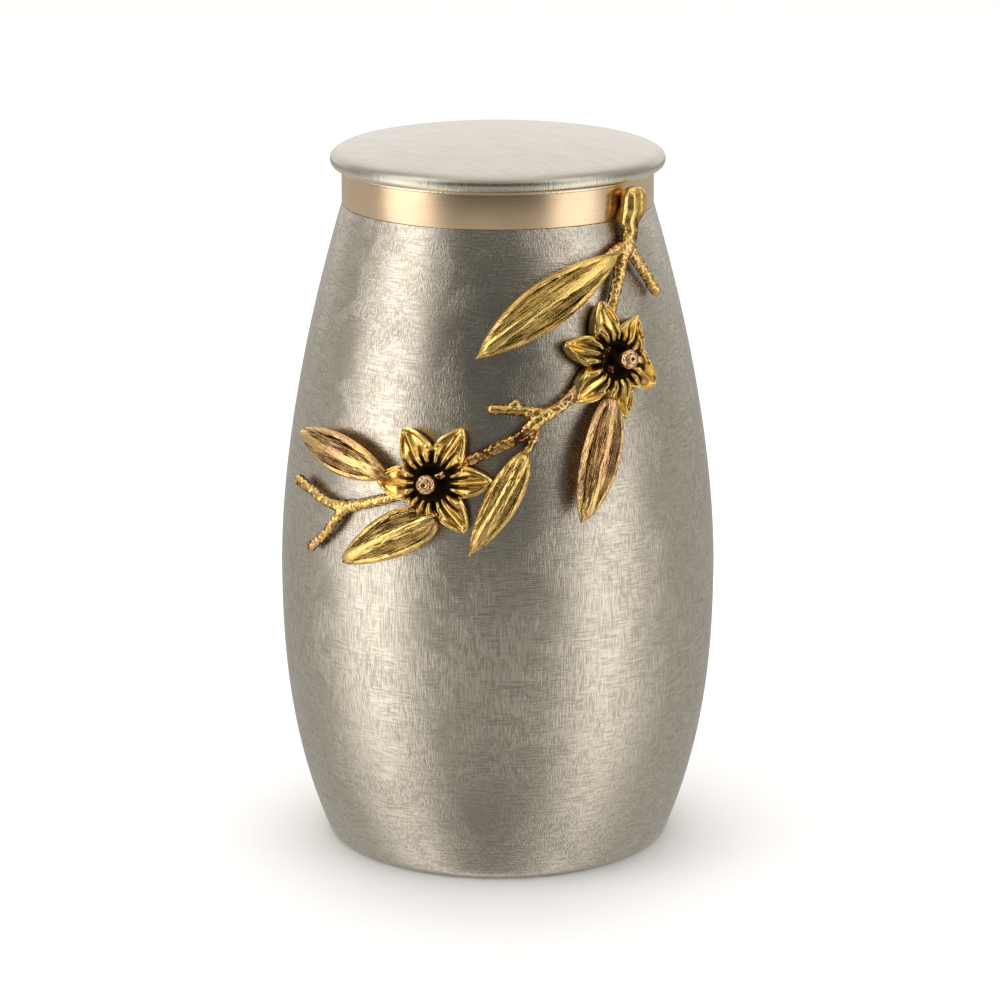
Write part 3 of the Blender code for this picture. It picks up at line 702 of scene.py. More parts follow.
def cast_material(name, branch, grain, speckle, depth, gold=None, dark_soot_and_shade=None, is_lined=False, is_barky=False):
    """Cast bronze with soot and painted shade from the piece's own mask, more painted shade where it turns
    away from the view, and a leaf's lines or a stem's bark.
    """
    material, tree, shader, place = new_material(name)
    soot_and_shade = attribute(tree, "soot_and_shade")
    if is_lined:
        veins = leaf_lines(tree)
        soot_and_shade = added(tree, soot_and_shade, scaled(tree, maths(tree, "SUBTRACT", 0.52, veins), 1.75))
    # Painted shade: the casting darkens where its face turns away from the view
    facing = add_node(tree, "ShaderNodeLayerWeight", {"Blend": 0.5}).outputs["Facing"]
    soot_and_shade = added(tree, soot_and_shade, between(tree, facing, 0.40, 0.95, 0.0, 0.60))
    inputs = {
        "Vector": place, "Gold": opaque(gold or branch.gold), "Copper": opaque(branch.copper),
        "Soot And Shade Colour": opaque(dark_soot_and_shade or branch.dark_soot_and_shade), "Grain": grain, "Speckle": speckle,
        "Soot And Shade Amount": soot_and_shade, "Patina": attribute(tree, "patina"),
    }
    finish = add_node(tree, "ShaderNodeGroup", inputs, node_tree=cast_finish()).outputs
    tree.links.new(finish["Color"], shader.inputs["Base Color"])
    tree.links.new(finish["Roughness"], shader.inputs["Roughness"])
    height = finish["Height"]
    if is_lined:
        height = added(tree, height, scaled(tree, veins, 2.2))
    if is_barky:
        height = added(tree, scaled(tree, bark_pebbles(tree, place), 1.6), height)
    add_bump(tree, shader, height, depth)
    return material


class UrnVesselOperator(bpy.types.Operator):
    """Draws the hollow vessel up from its underside, over the rim of its neck and down its inside"""

    bl_idname = "object.urn_vessel_add"
    bl_label = "Vessel"

    def execute(self, context):
        vessel = context.scene.urn_vessel
        band = context.scene.urn_band
        neck_radius = vessel.shoulder_radius - band.thickness - SEAT_GAP
        neck_top = vessel.height + SEAT_GAP + band.height
        mouth = neck_radius - vessel.wall
        base = vessel.foot_radius - FOOT_ROUNDING
        outline = [(base * share, 0.0) for share in DISC_RINGS]
        foot = (skin_radius(vessel, FOOT_ROUNDING), FOOT_ROUNDING)
        outline += curve_between(outline[-1], (skin_radius(vessel, 0.0), 0.0), foot, FOOT_STEPS)
        rise = (vessel.height - FOOT_ROUNDING) / OUTLINE_STEPS
        heights = [FOOT_ROUNDING + rise * i for i in range(1, OUTLINE_STEPS + 1)]
        outline += [(skin_radius(vessel, height), height) for height in heights]
        outline += [(neck_radius, vessel.height), (neck_radius, neck_top)]
        outline += [(mouth, neck_top), (mouth, vessel.height)]
        inner = reversed(heights[2:-2:2])
        outline += [(skin_radius(vessel, height) - vessel.wall, height) for height in inner]
        floor = vessel.foot_radius - vessel.wall - FOOT_ROUNDING
        outline += [(floor * share, BODY_FLOOR) for share in reversed(DISC_RINGS)]
        item = drawn_up(outline)
        finish_piece(item, "vessel", pewter_material(vessel))
        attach(item, "root")
        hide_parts("urn_body")
        return {"FINISHED"}


class UrnBandOperator(bpy.types.Operator):
    """Makes the smooth bronze collar that stands on the shoulder"""

    bl_idname = "object.urn_band_add"
    bl_label = "Neck band"

    def execute(self, context):
        vessel = context.scene.urn_vessel
        band = context.scene.urn_band
        bottom = vessel.height + BAND_STANDOFF
        top = vessel.height + band.height + 2 * SEAT_GAP - BAND_STANDOFF
        outer = vessel.shoulder_radius
        inner = outer - band.thickness
        outline = [(inner, bottom), (outer - BAND_ROUNDING, bottom)]
        outline += curve_between(outline[-1], (outer, bottom), (outer, bottom + BAND_ROUNDING), 3)
        outline += [(outer, bottom + band.height * 0.5), (outer, top - BAND_ROUNDING)]
        outline += curve_between(outline[-1], (outer, top), (outer - BAND_ROUNDING, top), 3)
        outline += [(inner, top), (inner, bottom)]
        item = drawn_up(outline, is_ring=True)
        finish_piece(item, "collar", bronze_material(band.bronze), 55.0)
        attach(item, "root")
        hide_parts("neck_band")
        return {"FINISHED"}


class UrnLidOperator(bpy.types.Operator):
    """Draws the lid from its ceiling down round the skirt, out to the lip and up over the crown"""

    bl_idname = "object.urn_lid_add"
    bl_label = "Lid"

    def execute(self, context):
        vessel = context.scene.urn_vessel
        band = context.scene.urn_band
        lid = context.scene.urn_lid
        bottom = vessel.height + band.height + 2 * SEAT_GAP
        lip = vessel.shoulder_radius + LIP_OVERHANG
        widest = (lid.radius, WIDEST_HEIGHT)
        crest = (lid.crest_radius, CREST_HEIGHT)
        slope = 2.0 * lid.crown_rise / lid.crest_radius
        shoulder = (lid.radius, CREST_HEIGHT - slope * (lid.radius - lid.crest_radius))
        skirt = vessel.shoulder_radius - band.thickness - SEAT_GAP - vessel.wall - SKIRT_CLEARANCE
        inside = skirt - SKIRT_WALL

        def crown(rings, radius, sunk):
            level = CREST_HEIGHT - sunk
            return [(radius * ring, level + lid.crown_rise * (1.0 - ring**2)) for ring in rings]

        outline = crown(CEILING_RINGS, lid.crest_radius - lid.wall, lid.wall)
        outline += [
            (lid.radius - lid.wall, WIDEST_HEIGHT + LIP_HEIGHT),
            (lip - lid.wall, LIP_HEIGHT + lid.wall),
            (inside, lid.wall),
            (inside, LID_BEVEL - lid.skirt_depth),
            (inside + LID_BEVEL, -lid.skirt_depth),
            (skirt - LID_BEVEL, -lid.skirt_depth),
            (skirt, LID_BEVEL - lid.skirt_depth),
            (skirt, 0.0),
            (lip - LID_BEVEL, 0.0),
            (lip, 0.0002),
            (lip, LIP_HEIGHT),
        ]
        outline += curve_between(outline[-1], (lid.radius, LIP_HEIGHT), widest, 7)
        outline += curve_between(widest, shoulder, crest, 12)
        outline += crown(CROWN_RINGS, lid.crest_radius, 0.0)
        item = drawn_up([(radius, height + bottom) for radius, height in outline])
        finish_piece(item, "lid_cover", lid_material(lid.pewter, bottom))
        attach(item, "root")
        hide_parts("lid")
        return {"FINISHED"}


def round_end(places, radii):
    """Adds points past a tube's last one, so that it ends in a knob."""
    outward = (places[-1] - places[-2]).normalized()
    end = places[-1]
    radius = radii[-1]
    for reach, share in KNOB_END:
        places.append(end + outward * radius * reach)
        radii.append(radius * share)


def draw_tubes(vessel):
    """Bends a tube onto the skin for the stem, each twig and each leaf's stalk."""
    deselect_all()
    bpy.ops.curve.primitive_bezier_curve_add(location=(0.0, 0.0, 0.0))
    item = bpy.context.object
    curve = item.data
    curve.splines.clear()
    curve.bevel_depth = TUBE_RADIUS
    curve.bevel_resolution = 5
    curve.resolution_u = 6
    curve.use_fill_caps = True
    for points in (STEM, *TWIGS, *LEAF_STALKS):
        places = [skin_point(vessel, degrees, drop, off_skin) for degrees, drop, off_skin, radius in points]
        radii = [point[3] for point in points]
        if points not in LEAF_STALKS:
            round_end(places, radii)
        if points is STEM:
            places.reverse()
            radii.reverse()
            round_end(places, radii)
        spline = curve.splines.new("BEZIER")
        spline.bezier_points.add(len(places) - 1)
        for knot, place, radius in zip(spline.bezier_points, places, radii):
            knot.co = place
            knot.handle_left_type = "AUTO"
            knot.handle_right_type = "AUTO"
            knot.radius = radius / curve.bevel_depth
    return item


def stain(degrees, drop, place):
    """How deep the copper stain is at a place on the stem."""
    depths = []
    for middle, spread, top in STAINS:
        depths.append(bell(degrees - middle, spread) * smooth((drop - top) / STAIN_FADE))
    middle, spread, level, reach = STUB_STAIN
    depths.append(0.7 * bell(degrees - middle, spread) * bell(drop - level, reach))
    return max(depths) * smooth(0.6 + noise.noise(place * 130.0) * 1.6)


def bark_at(vessel, place, normal):
    """Where a point of the plain branch goes, how much soot and painted shade it takes, and how coppery and
    barky it is there.
    """
    outward = Vector((place.x, place.y, 0.0)).normalized()
    around = Vector((-outward.y, outward.x, 0.0))
    facing = normal.dot(outward)
    bearing = math.atan2(place.x, -place.y)
    distances, _ = noise.voronoi(place * PEBBLE_SCALE)
    pebble = 1.0 - min(1.0, distances[0] / 0.75)
    height = PEBBLE_HEIGHT * (pebble - 0.45) + LUMP_HEIGHT * noise.noise(place * LUMP_SCALE)
    on_stub = smooth((place.z - vessel.height + STUB_START) / STUB_FADE)
    bark = 1.0 - on_stub
    sideways = (bearing - math.radians(STUB_BEARING)) * vessel.shoulder_radius
    groove = on_stub * bell(sideways + STUB_GROOVE_ASIDE, STUB_GROOVE_WIDTH) * smooth((facing - 0.1) / 0.5)
    height = height * bark - STUB_GROOVE_DEPTH * groove
    moved = place + normal * height + around * sideways * STUB_SPREAD * on_stub
    stained = stain(math.degrees(bearing), vessel.height - place.z, place)
    # Painted shade on the side of the stem that faces the vessel
    painted_back_shade = 1.0 - smooth((facing + 0.3) / 0.6)
    soot_and_shade = bark * (0.10 + 0.38 * (1.0 - smooth(pebble * 1.7)) + 0.35 * painted_back_shade)
    soot_and_shade += 0.75 * stained * (1.0 - smooth((pebble - 0.45) / 0.3)) + 0.42 * smooth(1.5 * groove)
    coppery = smooth(noise.noise(place * 48.0) * 2.0 + 0.25)
    patina = 0.30 + 0.5 * coppery + 0.6 * stained - 0.4 * on_stub
    return moved, soot_and_shade, patina, bark


def add_stems(vessel):
    """Melts the tubes into one branch and gives it pebbled bark."""
    select_only([draw_tubes(vessel)])
    bpy.ops.object.convert(target="MESH")
    item = bpy.context.object
    item.data.remesh_voxel_size = STEM_VOXEL
    bpy.ops.object.voxel_remesh()
    apply_modifier(item, "SMOOTH", factor=0.5, iterations=3)
    mesh = item.data
    surface = [bark_at(vessel, vertex.co, vertex.normal) for vertex in mesh.vertices]
    places, soot_and_shade_values, patinas, barks = zip(*surface)
    for vertex, place in zip(mesh.vertices, places):
        vertex.co = place
    set_attribute(mesh, "soot_and_shade", soot_and_shade_values)
    set_attribute(mesh, "patina", patinas)
    set_attribute(mesh, "bark", barks)
    return item


def leaf_width(share, swell, taper):
    """Half the blade's width along its length, as a share of the greatest."""
    fullest = swell / (swell + taper)
    greatest = fullest**swell * (1.0 - fullest) ** taper
    return share**swell * (1.0 - share) ** taper / greatest


def leaf_relief(side, half_width, shade):
    """Height of a blade's face over its plain sheet, and how much soot and painted shade it takes there."""
    from_edge = (1.0 - abs(side)) * half_width
    from_rib = abs(side) * half_width
    beside_rib = bell(from_rib - LEAF_GROOVE_ASIDE, LEAF_GROOVE_WIDTH)
    height = LEAF_ROOF * (1.0 - abs(side))
    height += LEAF_RIM * bell(from_edge - LEAF_RIM_WIDTH, LEAF_RIM_WIDTH)
    height += LEAF_RIB * bell(from_rib, LEAF_RIB_WIDTH)
    height -= LEAF_GROOVE * beside_rib
    height -= LEAF_DISH * 4.0 * abs(side) * (1.0 - abs(side))
    height *= min(1.0, half_width / LEAF_FULL_WIDTH)
    height -= LEAF_EDGE_FALL * (1.0 - smooth(from_edge / LEAF_EDGE_FALL))
    soot_and_shade = 0.28 + 0.60 * beside_rib + 0.75 * bell(from_edge - 0.0012, 0.00045)
    # Painted shade: one half of the blade is darker, as the leaf's shade picks
    soot_and_shade += 0.22 * (1.0 + shade * side) * smooth(from_edge / 0.001)
    soot_and_shade -= 2.2 * bell(from_edge - 0.0001, 0.00060) + 0.8 * bell(from_rib, LEAF_RIB_WIDTH)
    return height, max(-0.6, soot_and_shade)


def add_leaf(vessel, thickness, foot, tip, width, bow, arch, swell, taper, patina, shade):
    """Shapes a sheet into a blade on the skin, with a rim and a midrib, and gives it its thickness."""
    middle_radius = skin_radius(vessel, vessel.height - (foot[1] + tip[1]) / 2)
    start = Vector((math.radians(foot[0]) * middle_radius, -foot[1]))
    end = Vector((math.radians(tip[0]) * middle_radius, -tip[1]))
    along = end - start
    across = Vector((along.y, -along.x)).normalized()
    deselect_all()
    bpy.ops.mesh.primitive_grid_add(x_subdivisions=LEAF_ROWS, y_subdivisions=LEAF_COLUMNS, size=1.0,
                                    calc_uvs=True, location=(0.0, 0.0, 0.0))
    item = bpy.context.object
    body = item.vertex_groups.new(name="body")
    soot_and_shade_values = []
    for vertex in item.data.vertices:
        share = vertex.co.x + 0.5
        side = vertex.co.y * 2.0
        side = math.copysign(abs(side) ** LEAF_CROWDING, side)
        end_width = LEAF_END_WIDTH * (1.0 - 0.75 * smooth((share - 0.5) / 0.3))
        half_width = max(leaf_width(share, swell, taper) * width, end_width) / 2
        from_edge = (1.0 - abs(side)) * half_width
        fullness = (0.35 + 0.65 * smooth(from_edge / 0.0016)) * (0.30 + 0.70 * smooth(half_width / 0.0024))
        body.add([vertex.index], fullness, "REPLACE")  # the metal thins to the rim and to both ends
        flat = start + along * share + across * (4.0 * bow * share * (1.0 - share) + side * half_width)
        relief, soot_and_shade = leaf_relief(side, half_width, shade)
        off_skin = foot[2] + (tip[2] - foot[2]) * share + 4.0 * arch * share * (1.0 - share) + relief
        off_skin += thickness / 2
        vertex.co = skin_point(vessel, math.degrees(flat.x / middle_radius), -flat.y, off_skin)
        soot_and_shade_values.append(soot_and_shade)
    set_attribute(item.data, "soot_and_shade", soot_and_shade_values)
    set_attribute(item.data, "patina", [patina] * len(soot_and_shade_values))
    apply_modifier(item, "SOLIDIFY", thickness=thickness, offset=-1.0, vertex_group="body")
    return item


def petal_edge(offset, reach, notch):
    """Distance of a petal's edge from the flower's middle; offset is 0 on the midrib and 1 at a notch."""
    rounded = (offset**2 + PETAL_BLUNT**2) ** (PETAL_POINT / 2) - PETAL_BLUNT**PETAL_POINT
    return max(notch, reach - PETAL_TAPER * rounded)


def petal_columns(petals):
    """(angle, offset, reach, notch, half) of each column round a flower, from one notch to the next."""
    columns = []
    for k, (direction, reach, notch) in enumerate(petals):
        before = petals[k - 1][0] - (360.0 if k == 0 else 0.0)
        after = petals[(k + 1) % len(petals)][0] + (360.0 if k == len(petals) - 1 else 0.0)
        for j in range(PETAL_COLUMNS):
            offset = 2.0 * j / PETAL_COLUMNS - 1.0
            offset = math.copysign(abs(offset) ** PETAL_CROWDING, offset)
            half = (direction - before) / 2 if offset < 0.0 else (after - direction) / 2
            near_notch = petals[k - 1][2] if offset < 0.0 else notch
            angle = math.radians(direction + offset * half)
            columns.append((angle, offset, reach, near_notch, math.radians(half)))
    return columns


def petal_face(radius, offset, reach, notch, half, edge):
    """Height of a petal's face over the skin, and how much soot and painted shade it takes there."""
    crest_radius = THROAT_RADIUS + PETAL_CREST_SHARE * (reach - THROAT_RADIUS)
    rise = smooth((radius - THROAT_RADIUS + 0.0006) / (crest_radius - THROAT_RADIUS + 0.0006))
    fall = max(0.0, radius - crest_radius) / (reach - crest_radius)
    height = THROAT_RIM_HEIGHT + (PETAL_CREST_HEIGHT - THROAT_RIM_HEIGHT) * rise
    height -= (PETAL_CREST_HEIGHT - PETAL_TIP_HEIGHT) * fall
    height -= PETAL_VALLEY * abs(offset) ** PETAL_VALLEY_POWER * rise

    # How far the place is from the midrib and from the petal's own edge
    sideways = abs(offset) * half * radius
    limit = min(1.0, (max(0.0, reach - radius) / PETAL_TAPER) ** (1.0 / PETAL_POINT))
    if radius < notch:
        limit = 1.0
    half_width = limit * half * radius
    from_edge = max(0.0, half_width - sideways)
    if radius < notch:
        from_edge = max(from_edge, (edge - radius) * 0.7)
    from_edge = min(from_edge, max(0.0, edge - radius))

    # Relief: a raised rim and midrib, a dish on each side and folds that run out of the throat
    room = min(1.0, half_width / 0.0030)
    rim = PETAL_RIM * smooth(1.0 - from_edge / PETAL_RIM_WIDTH)
    rib = PETAL_RIB * bell(sideways, PETAL_RIB_WIDTH) * rise
    dish = PETAL_DISH * smooth((from_edge - 0.0003) / 0.0016) * smooth((sideways - 0.0002) / 0.0012) * room
    dish *= smooth((radius - 0.0095) / 0.0045)
    uneven = PETAL_FOLDS_UNEVEN * math.sin(reach * 9000.0 + (3.0 if offset < 0.0 else 0.0))
    folds = PETAL_FOLD * math.cos(math.tau * abs(offset) * (PETAL_FOLDS + uneven))
    folds *= (1.0 - smooth((radius - 0.0105) / 0.0050)) * smooth((radius - THROAT_RADIUS) / 0.0014)
    folds *= smooth(from_edge / 0.0010)
    fall_edge = PETAL_EDGE_FALL * (1.0 - smooth(from_edge / 0.00055))

    # Soot and painted shade darken the dishes, the folds and the throat's edge, and the rim is rubbed bright
    soot_and_shade = 0.34 * smooth((from_edge - 0.0007) / 0.0008) * smooth((sideways - 0.0005) / 0.0008)
    soot_and_shade += 0.50 * smooth(-folds / 0.0004)
    soot_and_shade += 1.5 * smooth((THROAT_RADIUS + 0.0020 - radius) / 0.0022)
    soot_and_shade += 0.8 * smooth((0.0102 - radius) / 0.0038) * smooth((0.00012 - folds) / 0.0004)
    soot_and_shade -= 1.0 * smooth(1.0 - from_edge / 0.0011)
    return height + rim + rib + folds - dish - fall_edge, max(0.0, soot_and_shade)


def add_flower(vessel, place, petals):
    """Draws a disc through the throat, over the petals, down their sides and in to the calyx's foot."""
    degrees, drop = place
    columns = petal_columns(petals)
    sides = len(columns)
    rings = [("throat", share) for share in (0.0, 0.35, 0.7)]
    rings += [("face", i / FACE_RINGS) for i in range(FACE_RINGS + 1)]
    rings += [("wall", i / WALL_RINGS) for i in range(1, WALL_RINGS + 1)]
    rings += [("back", 0.5), ("back", 1.0), ("calyx", 0.5), ("calyx", 1.0)]
    deselect_all()
    bpy.ops.mesh.primitive_circle_add(vertices=sides, radius=1.0, fill_type="NGON", location=(0, 0, 0))
    item = bpy.context.object
    bpy.ops.object.mode_set(mode="EDIT")
    bpy.ops.mesh.select_all(action="SELECT")
    for _ in rings[1:]:
        bpy.ops.mesh.extrude_region_move(TRANSFORM_OT_translate={"value": (0.0, 0.0, -1.0)})
    bpy.ops.object.mode_set(mode="OBJECT")
    around = skin_radius(vessel, vessel.height - drop)
    rise = skin_frame(vessel, degrees, drop)[2][1]
    soot_and_shade_values = []
    for vertex in item.data.vertices:
        x, y, z = vertex.co
        kind, share = rings[round(-z)]
        column = round(math.atan2(y, x) / math.tau * sides) % sides
        angle, offset, reach, notch, half = columns[column]
        edge = petal_edge(offset, reach, notch)
        edge_height, _ = petal_face(edge, offset, reach, notch, half, edge)
        # Soot and painted shade fill the throat; the petals' backs and the calyx under them take painted
        # shade
        soot_and_shade = DEEP_SOOT_AND_SHADE
        if kind == "throat":
            radius = THROAT_FLOOR_RADIUS + share * (THROAT_RADIUS - THROAT_FLOOR_RADIUS)
            height = THROAT_FLOOR_HEIGHT + share * (THROAT_RIM_HEIGHT - THROAT_FLOOR_HEIGHT)
        elif kind == "face":
            spread = 1.0 - (1.0 - share) ** FACE_CROWDING
            radius = THROAT_RADIUS + spread * (edge - THROAT_RADIUS)
            height, soot_and_shade = petal_face(radius, offset, reach, notch, half, edge)
        elif kind == "wall":
            radius = edge - PETAL_BACK_INSET * share**1.5
            height = edge_height + (PETAL_BACK_HEIGHT - edge_height) * share
            # Painted shade down the petal's side wall and towards the notches between petals
            soot_and_shade = 0.35 * share + 0.35 * smooth((abs(offset) - 0.8) / 0.2)
        elif kind == "back":
            radius = edge - PETAL_BACK_INSET + share * (CALYX_RADIUS - edge + PETAL_BACK_INSET)
            height = PETAL_BACK_HEIGHT
        else:
            radius = CALYX_RADIUS + share * (CALYX_FOOT_RADIUS - CALYX_RADIUS)
            height = PETAL_BACK_HEIGHT + share * (CALYX_GAP - PETAL_BACK_HEIGHT)
        flat_x = radius * math.cos(angle)
        flat_y = radius * math.sin(angle)
        turn = math.degrees(flat_x / (around + height))
        vertex.co = skin_point(vessel, degrees + turn, drop - flat_y * rise, height)
        soot_and_shade_values.append(soot_and_shade)
    set_attribute(item.data, "soot_and_shade", soot_and_shade_values)
    set_attribute(item.data, "patina", [PETAL_PATINA] * len(soot_and_shade_values))
    select_only([item])
    bpy.ops.object.mode_set(mode="EDIT")
    bpy.ops.mesh.select_all(action="SELECT")
    bpy.ops.mesh.normals_make_consistent(inside=False)
    bpy.ops.object.mode_set(mode="OBJECT")
    return item


def add_pistil(vessel, place):
    """Makes the stalk and the pitted head that stand in a flower's throat."""
    degrees, drop = place
    upright = skin_frame(vessel, degrees, drop)
    foot_radius, top_radius = PISTIL_STALK_RADII
    deselect_all()
    bpy.ops.mesh.primitive_cone_add(
        vertices=32, radius1=foot_radius, radius2=top_radius, depth=PISTIL_STALK_LENGTH,
        location=(0.0, 0.0, PISTIL_HEAD_HEIGHT - PISTIL_STALK_LENGTH / 2)
    )
    stalk = bpy.context.object
    bpy.ops.object.transform_apply(location=True, rotation=True, scale=True)
    # Soot and painted shade on the stalk under the pistil's head
    set_attribute(stalk.data, "soot_and_shade", [DEEP_SOOT_AND_SHADE] * len(stalk.data.vertices))
    deselect_all()
    bpy.ops.mesh.primitive_uv_sphere_add(segments=56, ring_count=36, radius=1.0, location=(0.0, 0.0, 0.0))
    head = bpy.context.object
    soot_and_shade_values = []
    for vertex in head.data.vertices:
        away = vertex.co.normalized()
        lean = math.degrees(math.acos(max(-1.0, min(1.0, away.z))))
        distances, _ = noise.voronoi(away * 3.4 + Vector((degrees, drop, 0.0)))
        pit = bell(distances[0], 0.34) * smooth((lean - 22.0) / 14.0)
        dimple = bell(lean, 12.0)
        ring = bell(lean - 24.0, 7.0) - bell(lean - 38.0, 5.0)
        shrink = PISTIL_PIT * pit + PISTIL_DIMPLE * dimple - PISTIL_RING * ring
        tall = PISTIL_HEAD_RISE if away.z > 0.0 else PISTIL_HEAD_DROP
        shaped = Vector((away.x * PISTIL_HEAD_RADIUS, away.y * PISTIL_HEAD_RADIUS, away.z * tall))
        vertex.co = shaped - away * shrink + Vector((0.0, 0.0, PISTIL_HEAD_HEIGHT))
        soot_and_shade = 0.10 + 1.0 * pit + 1.1 * dimple + 0.25 * bell(lean - 38.0, 7.0)
        # Painted shade on the underside of the pistil's head
        soot_and_shade += 0.8 * smooth((lean - 90.0) / 25.0)
        soot_and_shade_values.append(soot_and_shade)
    set_attribute(head.data, "soot_and_shade", soot_and_shade_values)
    for part in (stalk, head):
        set_attribute(part.data, "patina", [0.0] * len(part.data.vertices))
        part.data.transform(upright)
    return stalk, head


class UrnBranchOperator(bpy.types.Operator):
    """Models the branch, its leaves and its flowers, and joins them as one casting"""

    bl_idname = "object.urn_branch_add"
    bl_label = "Flower branch"

    def execute(self, context):
        vessel = context.scene.urn_vessel
        branch = context.scene.urn_branch
        bark_bronze = cast_material(
            "bark_bronze", branch, 1200.0, 0.7, 0.00010, dark_soot_and_shade=BARK_SOOT_AND_SHADE, is_barky=True
        )
        leaf_bronze = cast_material("leaf_bronze", branch, 1500.0, 1.3, 0.00013, is_lined=True)
        petal_bronze = cast_material("petal_bronze", branch, 1100.0, 0.6, 0.00005)
        pistil_bronze = cast_material("pistil_bronze", branch, 1700.0, 1.2, 0.00010, gold=PISTIL_GOLD)
        stems = add_stems(vessel)
        finish_piece(stems, "branch_casting", bark_bronze, 60.0)
        parts = [stems]
        for name, leaf in LEAVES.items():
            item = add_leaf(vessel, branch.leaf_thickness, **leaf)
            finish_piece(item, name, leaf_bronze, 60.0)
            parts.append(item)
        for name, (place, petals) in FLOWERS.items():
            item = add_flower(vessel, place, petals)
            finish_piece(item, name, petal_bronze, 60.0)
            stalk, head = add_pistil(vessel, place)
            finish_piece(stalk, f"{name}_stalk", pistil_bronze, 50.0)
            finish_piece(head, f"{name}_head", pistil_bronze, 60.0)
            parts += [item, stalk, head]
        select_only(parts)
        bpy.ops.object.join()
        casting = bpy.context.object
        casting.name = "branch_casting"
        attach(casting, "root")
        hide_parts("flower_branch")
        return {"FINISHED"}


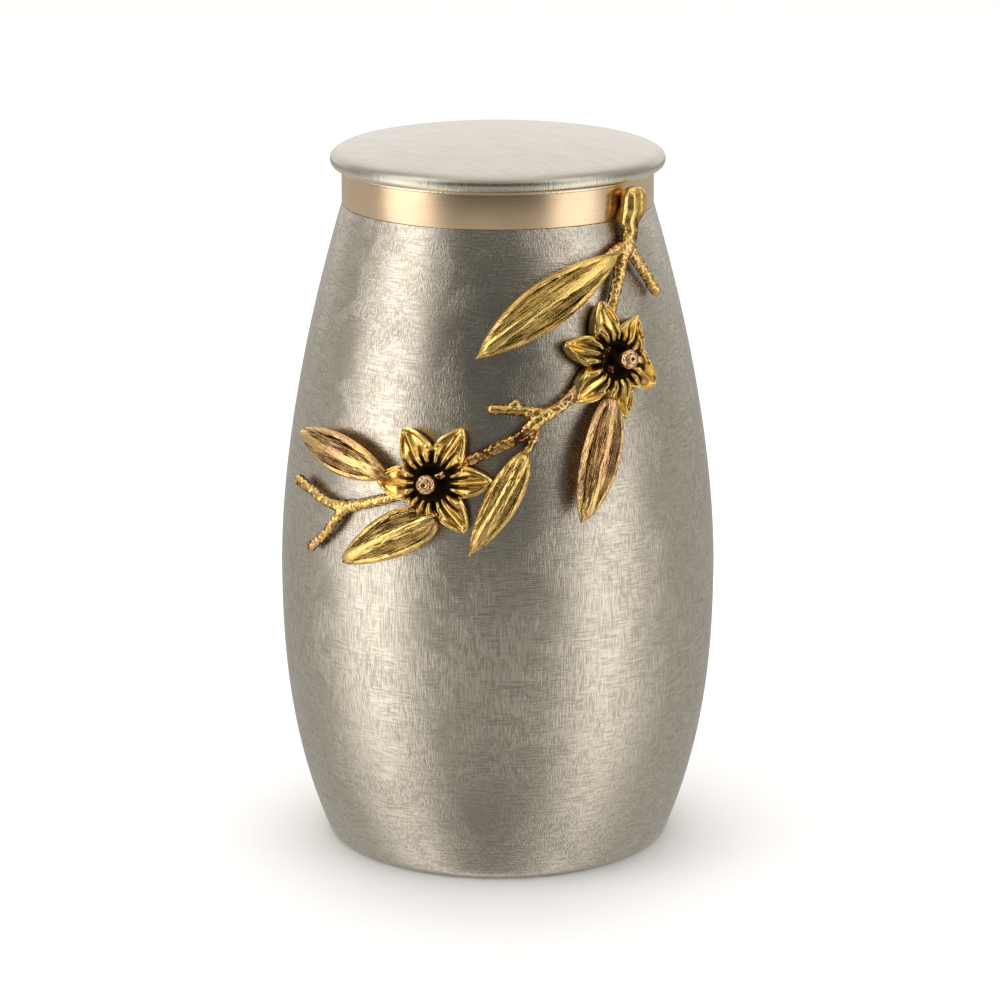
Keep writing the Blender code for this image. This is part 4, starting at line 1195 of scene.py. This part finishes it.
class UrnStageOperator(bpy.types.Operator):
    """Lays the pale floor, sets the studio round it and places the camera"""

    bl_idname = "object.urn_stage_add"
    bl_label = "Stage"

    def execute(self, context):
        stage = context.scene.urn_stage
        deselect_all()
        bpy.ops.mesh.primitive_circle_add(vertices=96, radius=stage.floor_radius, fill_type="NGON",
                                          location=(0.0, 0.0, FLOOR_HEIGHT))
        floor = bpy.context.object
        bpy.ops.object.transform_apply(location=True, rotation=True, scale=True)
        floor.name = "stage_floor"
        material = bpy.data.materials.new("pale_floor")
        material.use_nodes = True
        tree = material.node_tree
        shader = tree.nodes["Principled BSDF"]
        shader.inputs["Roughness"].default_value = 0.9
        shader.inputs["Specular IOR Level"].default_value = 0.1
        place = add_node(tree, "ShaderNodeTexCoord").outputs["Object"]
        cloud = noise_value(tree, place, 6.0, 3.0)
        lighter, darker = FLOOR_COLORS
        tree.links.new(mixed(tree, cloud, opaque(lighter), opaque(darker)), shader.inputs["Base Color"])
        floor.data.materials.append(material)
        floor.visible_glossy = False
        self.set_studio(context)
        deselect_all()
        bpy.ops.object.light_add(type="AREA", location=(0.0, 0.0, LAMP_HEIGHT))
        lamp = bpy.context.object
        lamp.name = "overhead_lamp"
        lamp.data.shape = "DISK"
        lamp.data.size = LAMP_SIZE
        lamp.data.energy = stage.lamp_power
        lamp.visible_glossy = False
        turn = (math.radians(90.0 - CAMERA_TILT), 0.0, 0.0)
        bpy.ops.object.camera_add(location=CAMERA_PLACE, rotation=turn)
        camera = bpy.context.object
        camera.name = "camera"
        camera.data.sensor_width = CAMERA_SENSOR
        camera.data.lens = CAMERA_LENS
        context.scene.camera = camera
        context.scene.view_settings.view_transform = "Standard"
        return {"FINISHED"}

    def set_studio(self, context):
        """Tall soft panels at both sides of a dark front, and a pale wall behind."""
        world = bpy.data.worlds.new("studio")
        world.use_nodes = True
        context.scene.world = world
        tree = world.node_tree
        background = tree.nodes["Background"]
        look = add_node(tree, "ShaderNodeTexCoord").outputs["Generated"]
        parts = add_node(tree, "ShaderNodeSeparateXYZ", {0: look}).outputs
        away = scaled(tree, parts[1], -1.0)
        bearing = scaled(tree, maths(tree, "ARCTAN2", parts[0], away), 180.0 / math.pi)
        height = scaled(tree, maths(tree, "ARCSINE", parts[2]), 180.0 / math.pi)
        aside = maths(tree, "ABSOLUTE", bearing)

        def panel(centre, half, soft, low, high):
            distance = maths(tree, "ABSOLUTE", maths(tree, "SUBTRACT", bearing, centre))
            shape = between(tree, distance, half + soft, half - soft)
            glow = between(tree, height, -40.0, 2.0, low, high)
            cut = between(tree, height, *PANEL_TOP)
            return scaled(tree, scaled(tree, shape, glow), cut)

        glows = [between(tree, height, *glow) for glow in FRONT_GLOWS]
        front = added(tree, *glows, between(tree, aside, *SIDE_GLOW))
        light = mixed_value(tree, between(tree, aside, 90.0, 112.0), front, REAR_GLOW)
        wall = scaled(tree, between(tree, aside, 118.0, 150.0), between(tree, height, -6.0, 4.0))
        wall = scaled(tree, wall, between(tree, height, *WALL_GLOW))
        panels = [panel(*sizes) for sizes in PANELS]
        light = added(tree, light, *panels, wall, between(tree, height, *OVERHEAD_GLOW))
        tinted = mixed(tree, between(tree, light, 0.15, 1.0), DIM_LIGHT, BRIGHT_LIGHT)
        is_seen = add_node(tree, "ShaderNodeLightPath").outputs["Is Camera Ray"]
        tree.links.new(mixed(tree, is_seen, tinted, WHITE), background.inputs["Color"])
        tree.links.new(mixed_value(tree, is_seen, light, 1.0), background.inputs["Strength"])


class UrnPanel(bpy.types.Panel):
    bl_idname = "VIEW3D_PT_urn"
    bl_label = "Cremation urn"
    bl_space_type = "VIEW_3D"
    bl_region_type = "UI"
    bl_category = "Urn"

    def draw(self, context):
        layout = self.layout
        for operator, group in PIECES:
            box = layout.box()
            settings = getattr(context.scene, group)
            for name in settings.__annotations__:
                box.prop(settings, name)
            box.operator(operator)


PIECES = (
    ("object.urn_vessel_add", "urn_vessel"),
    ("object.urn_band_add", "urn_band"),
    ("object.urn_lid_add", "urn_lid"),
    ("object.urn_branch_add", "urn_branch"),
    ("object.urn_stage_add", "urn_stage"),
)
SETTINGS = {
    "urn_vessel": UrnVesselSettings,
    "urn_band": UrnBandSettings,
    "urn_lid": UrnLidSettings,
    "urn_branch": UrnBranchSettings,
    "urn_stage": UrnStageSettings,
}
CLASSES = (
    *SETTINGS.values(), UrnVesselOperator, UrnBandOperator, UrnLidOperator, UrnBranchOperator,
    UrnStageOperator, UrnPanel,
)


def register():
    for item in CLASSES:
        bpy.utils.register_class(item)
    for name, group in SETTINGS.items():
        setattr(bpy.types.Scene, name, bpy.props.PointerProperty(type=group))


def unregister():
    for name in SETTINGS:
        delattr(bpy.types.Scene, name)
    for item in reversed(CLASSES):
        bpy.utils.unregister_class(item)


def main():
    register()
    bpy.ops.object.urn_vessel_add()
    bpy.ops.object.urn_band_add()
    bpy.ops.object.urn_lid_add()
    bpy.ops.object.urn_branch_add()
    bpy.ops.object.urn_stage_add()


if __name__ == "__main__":
    main()
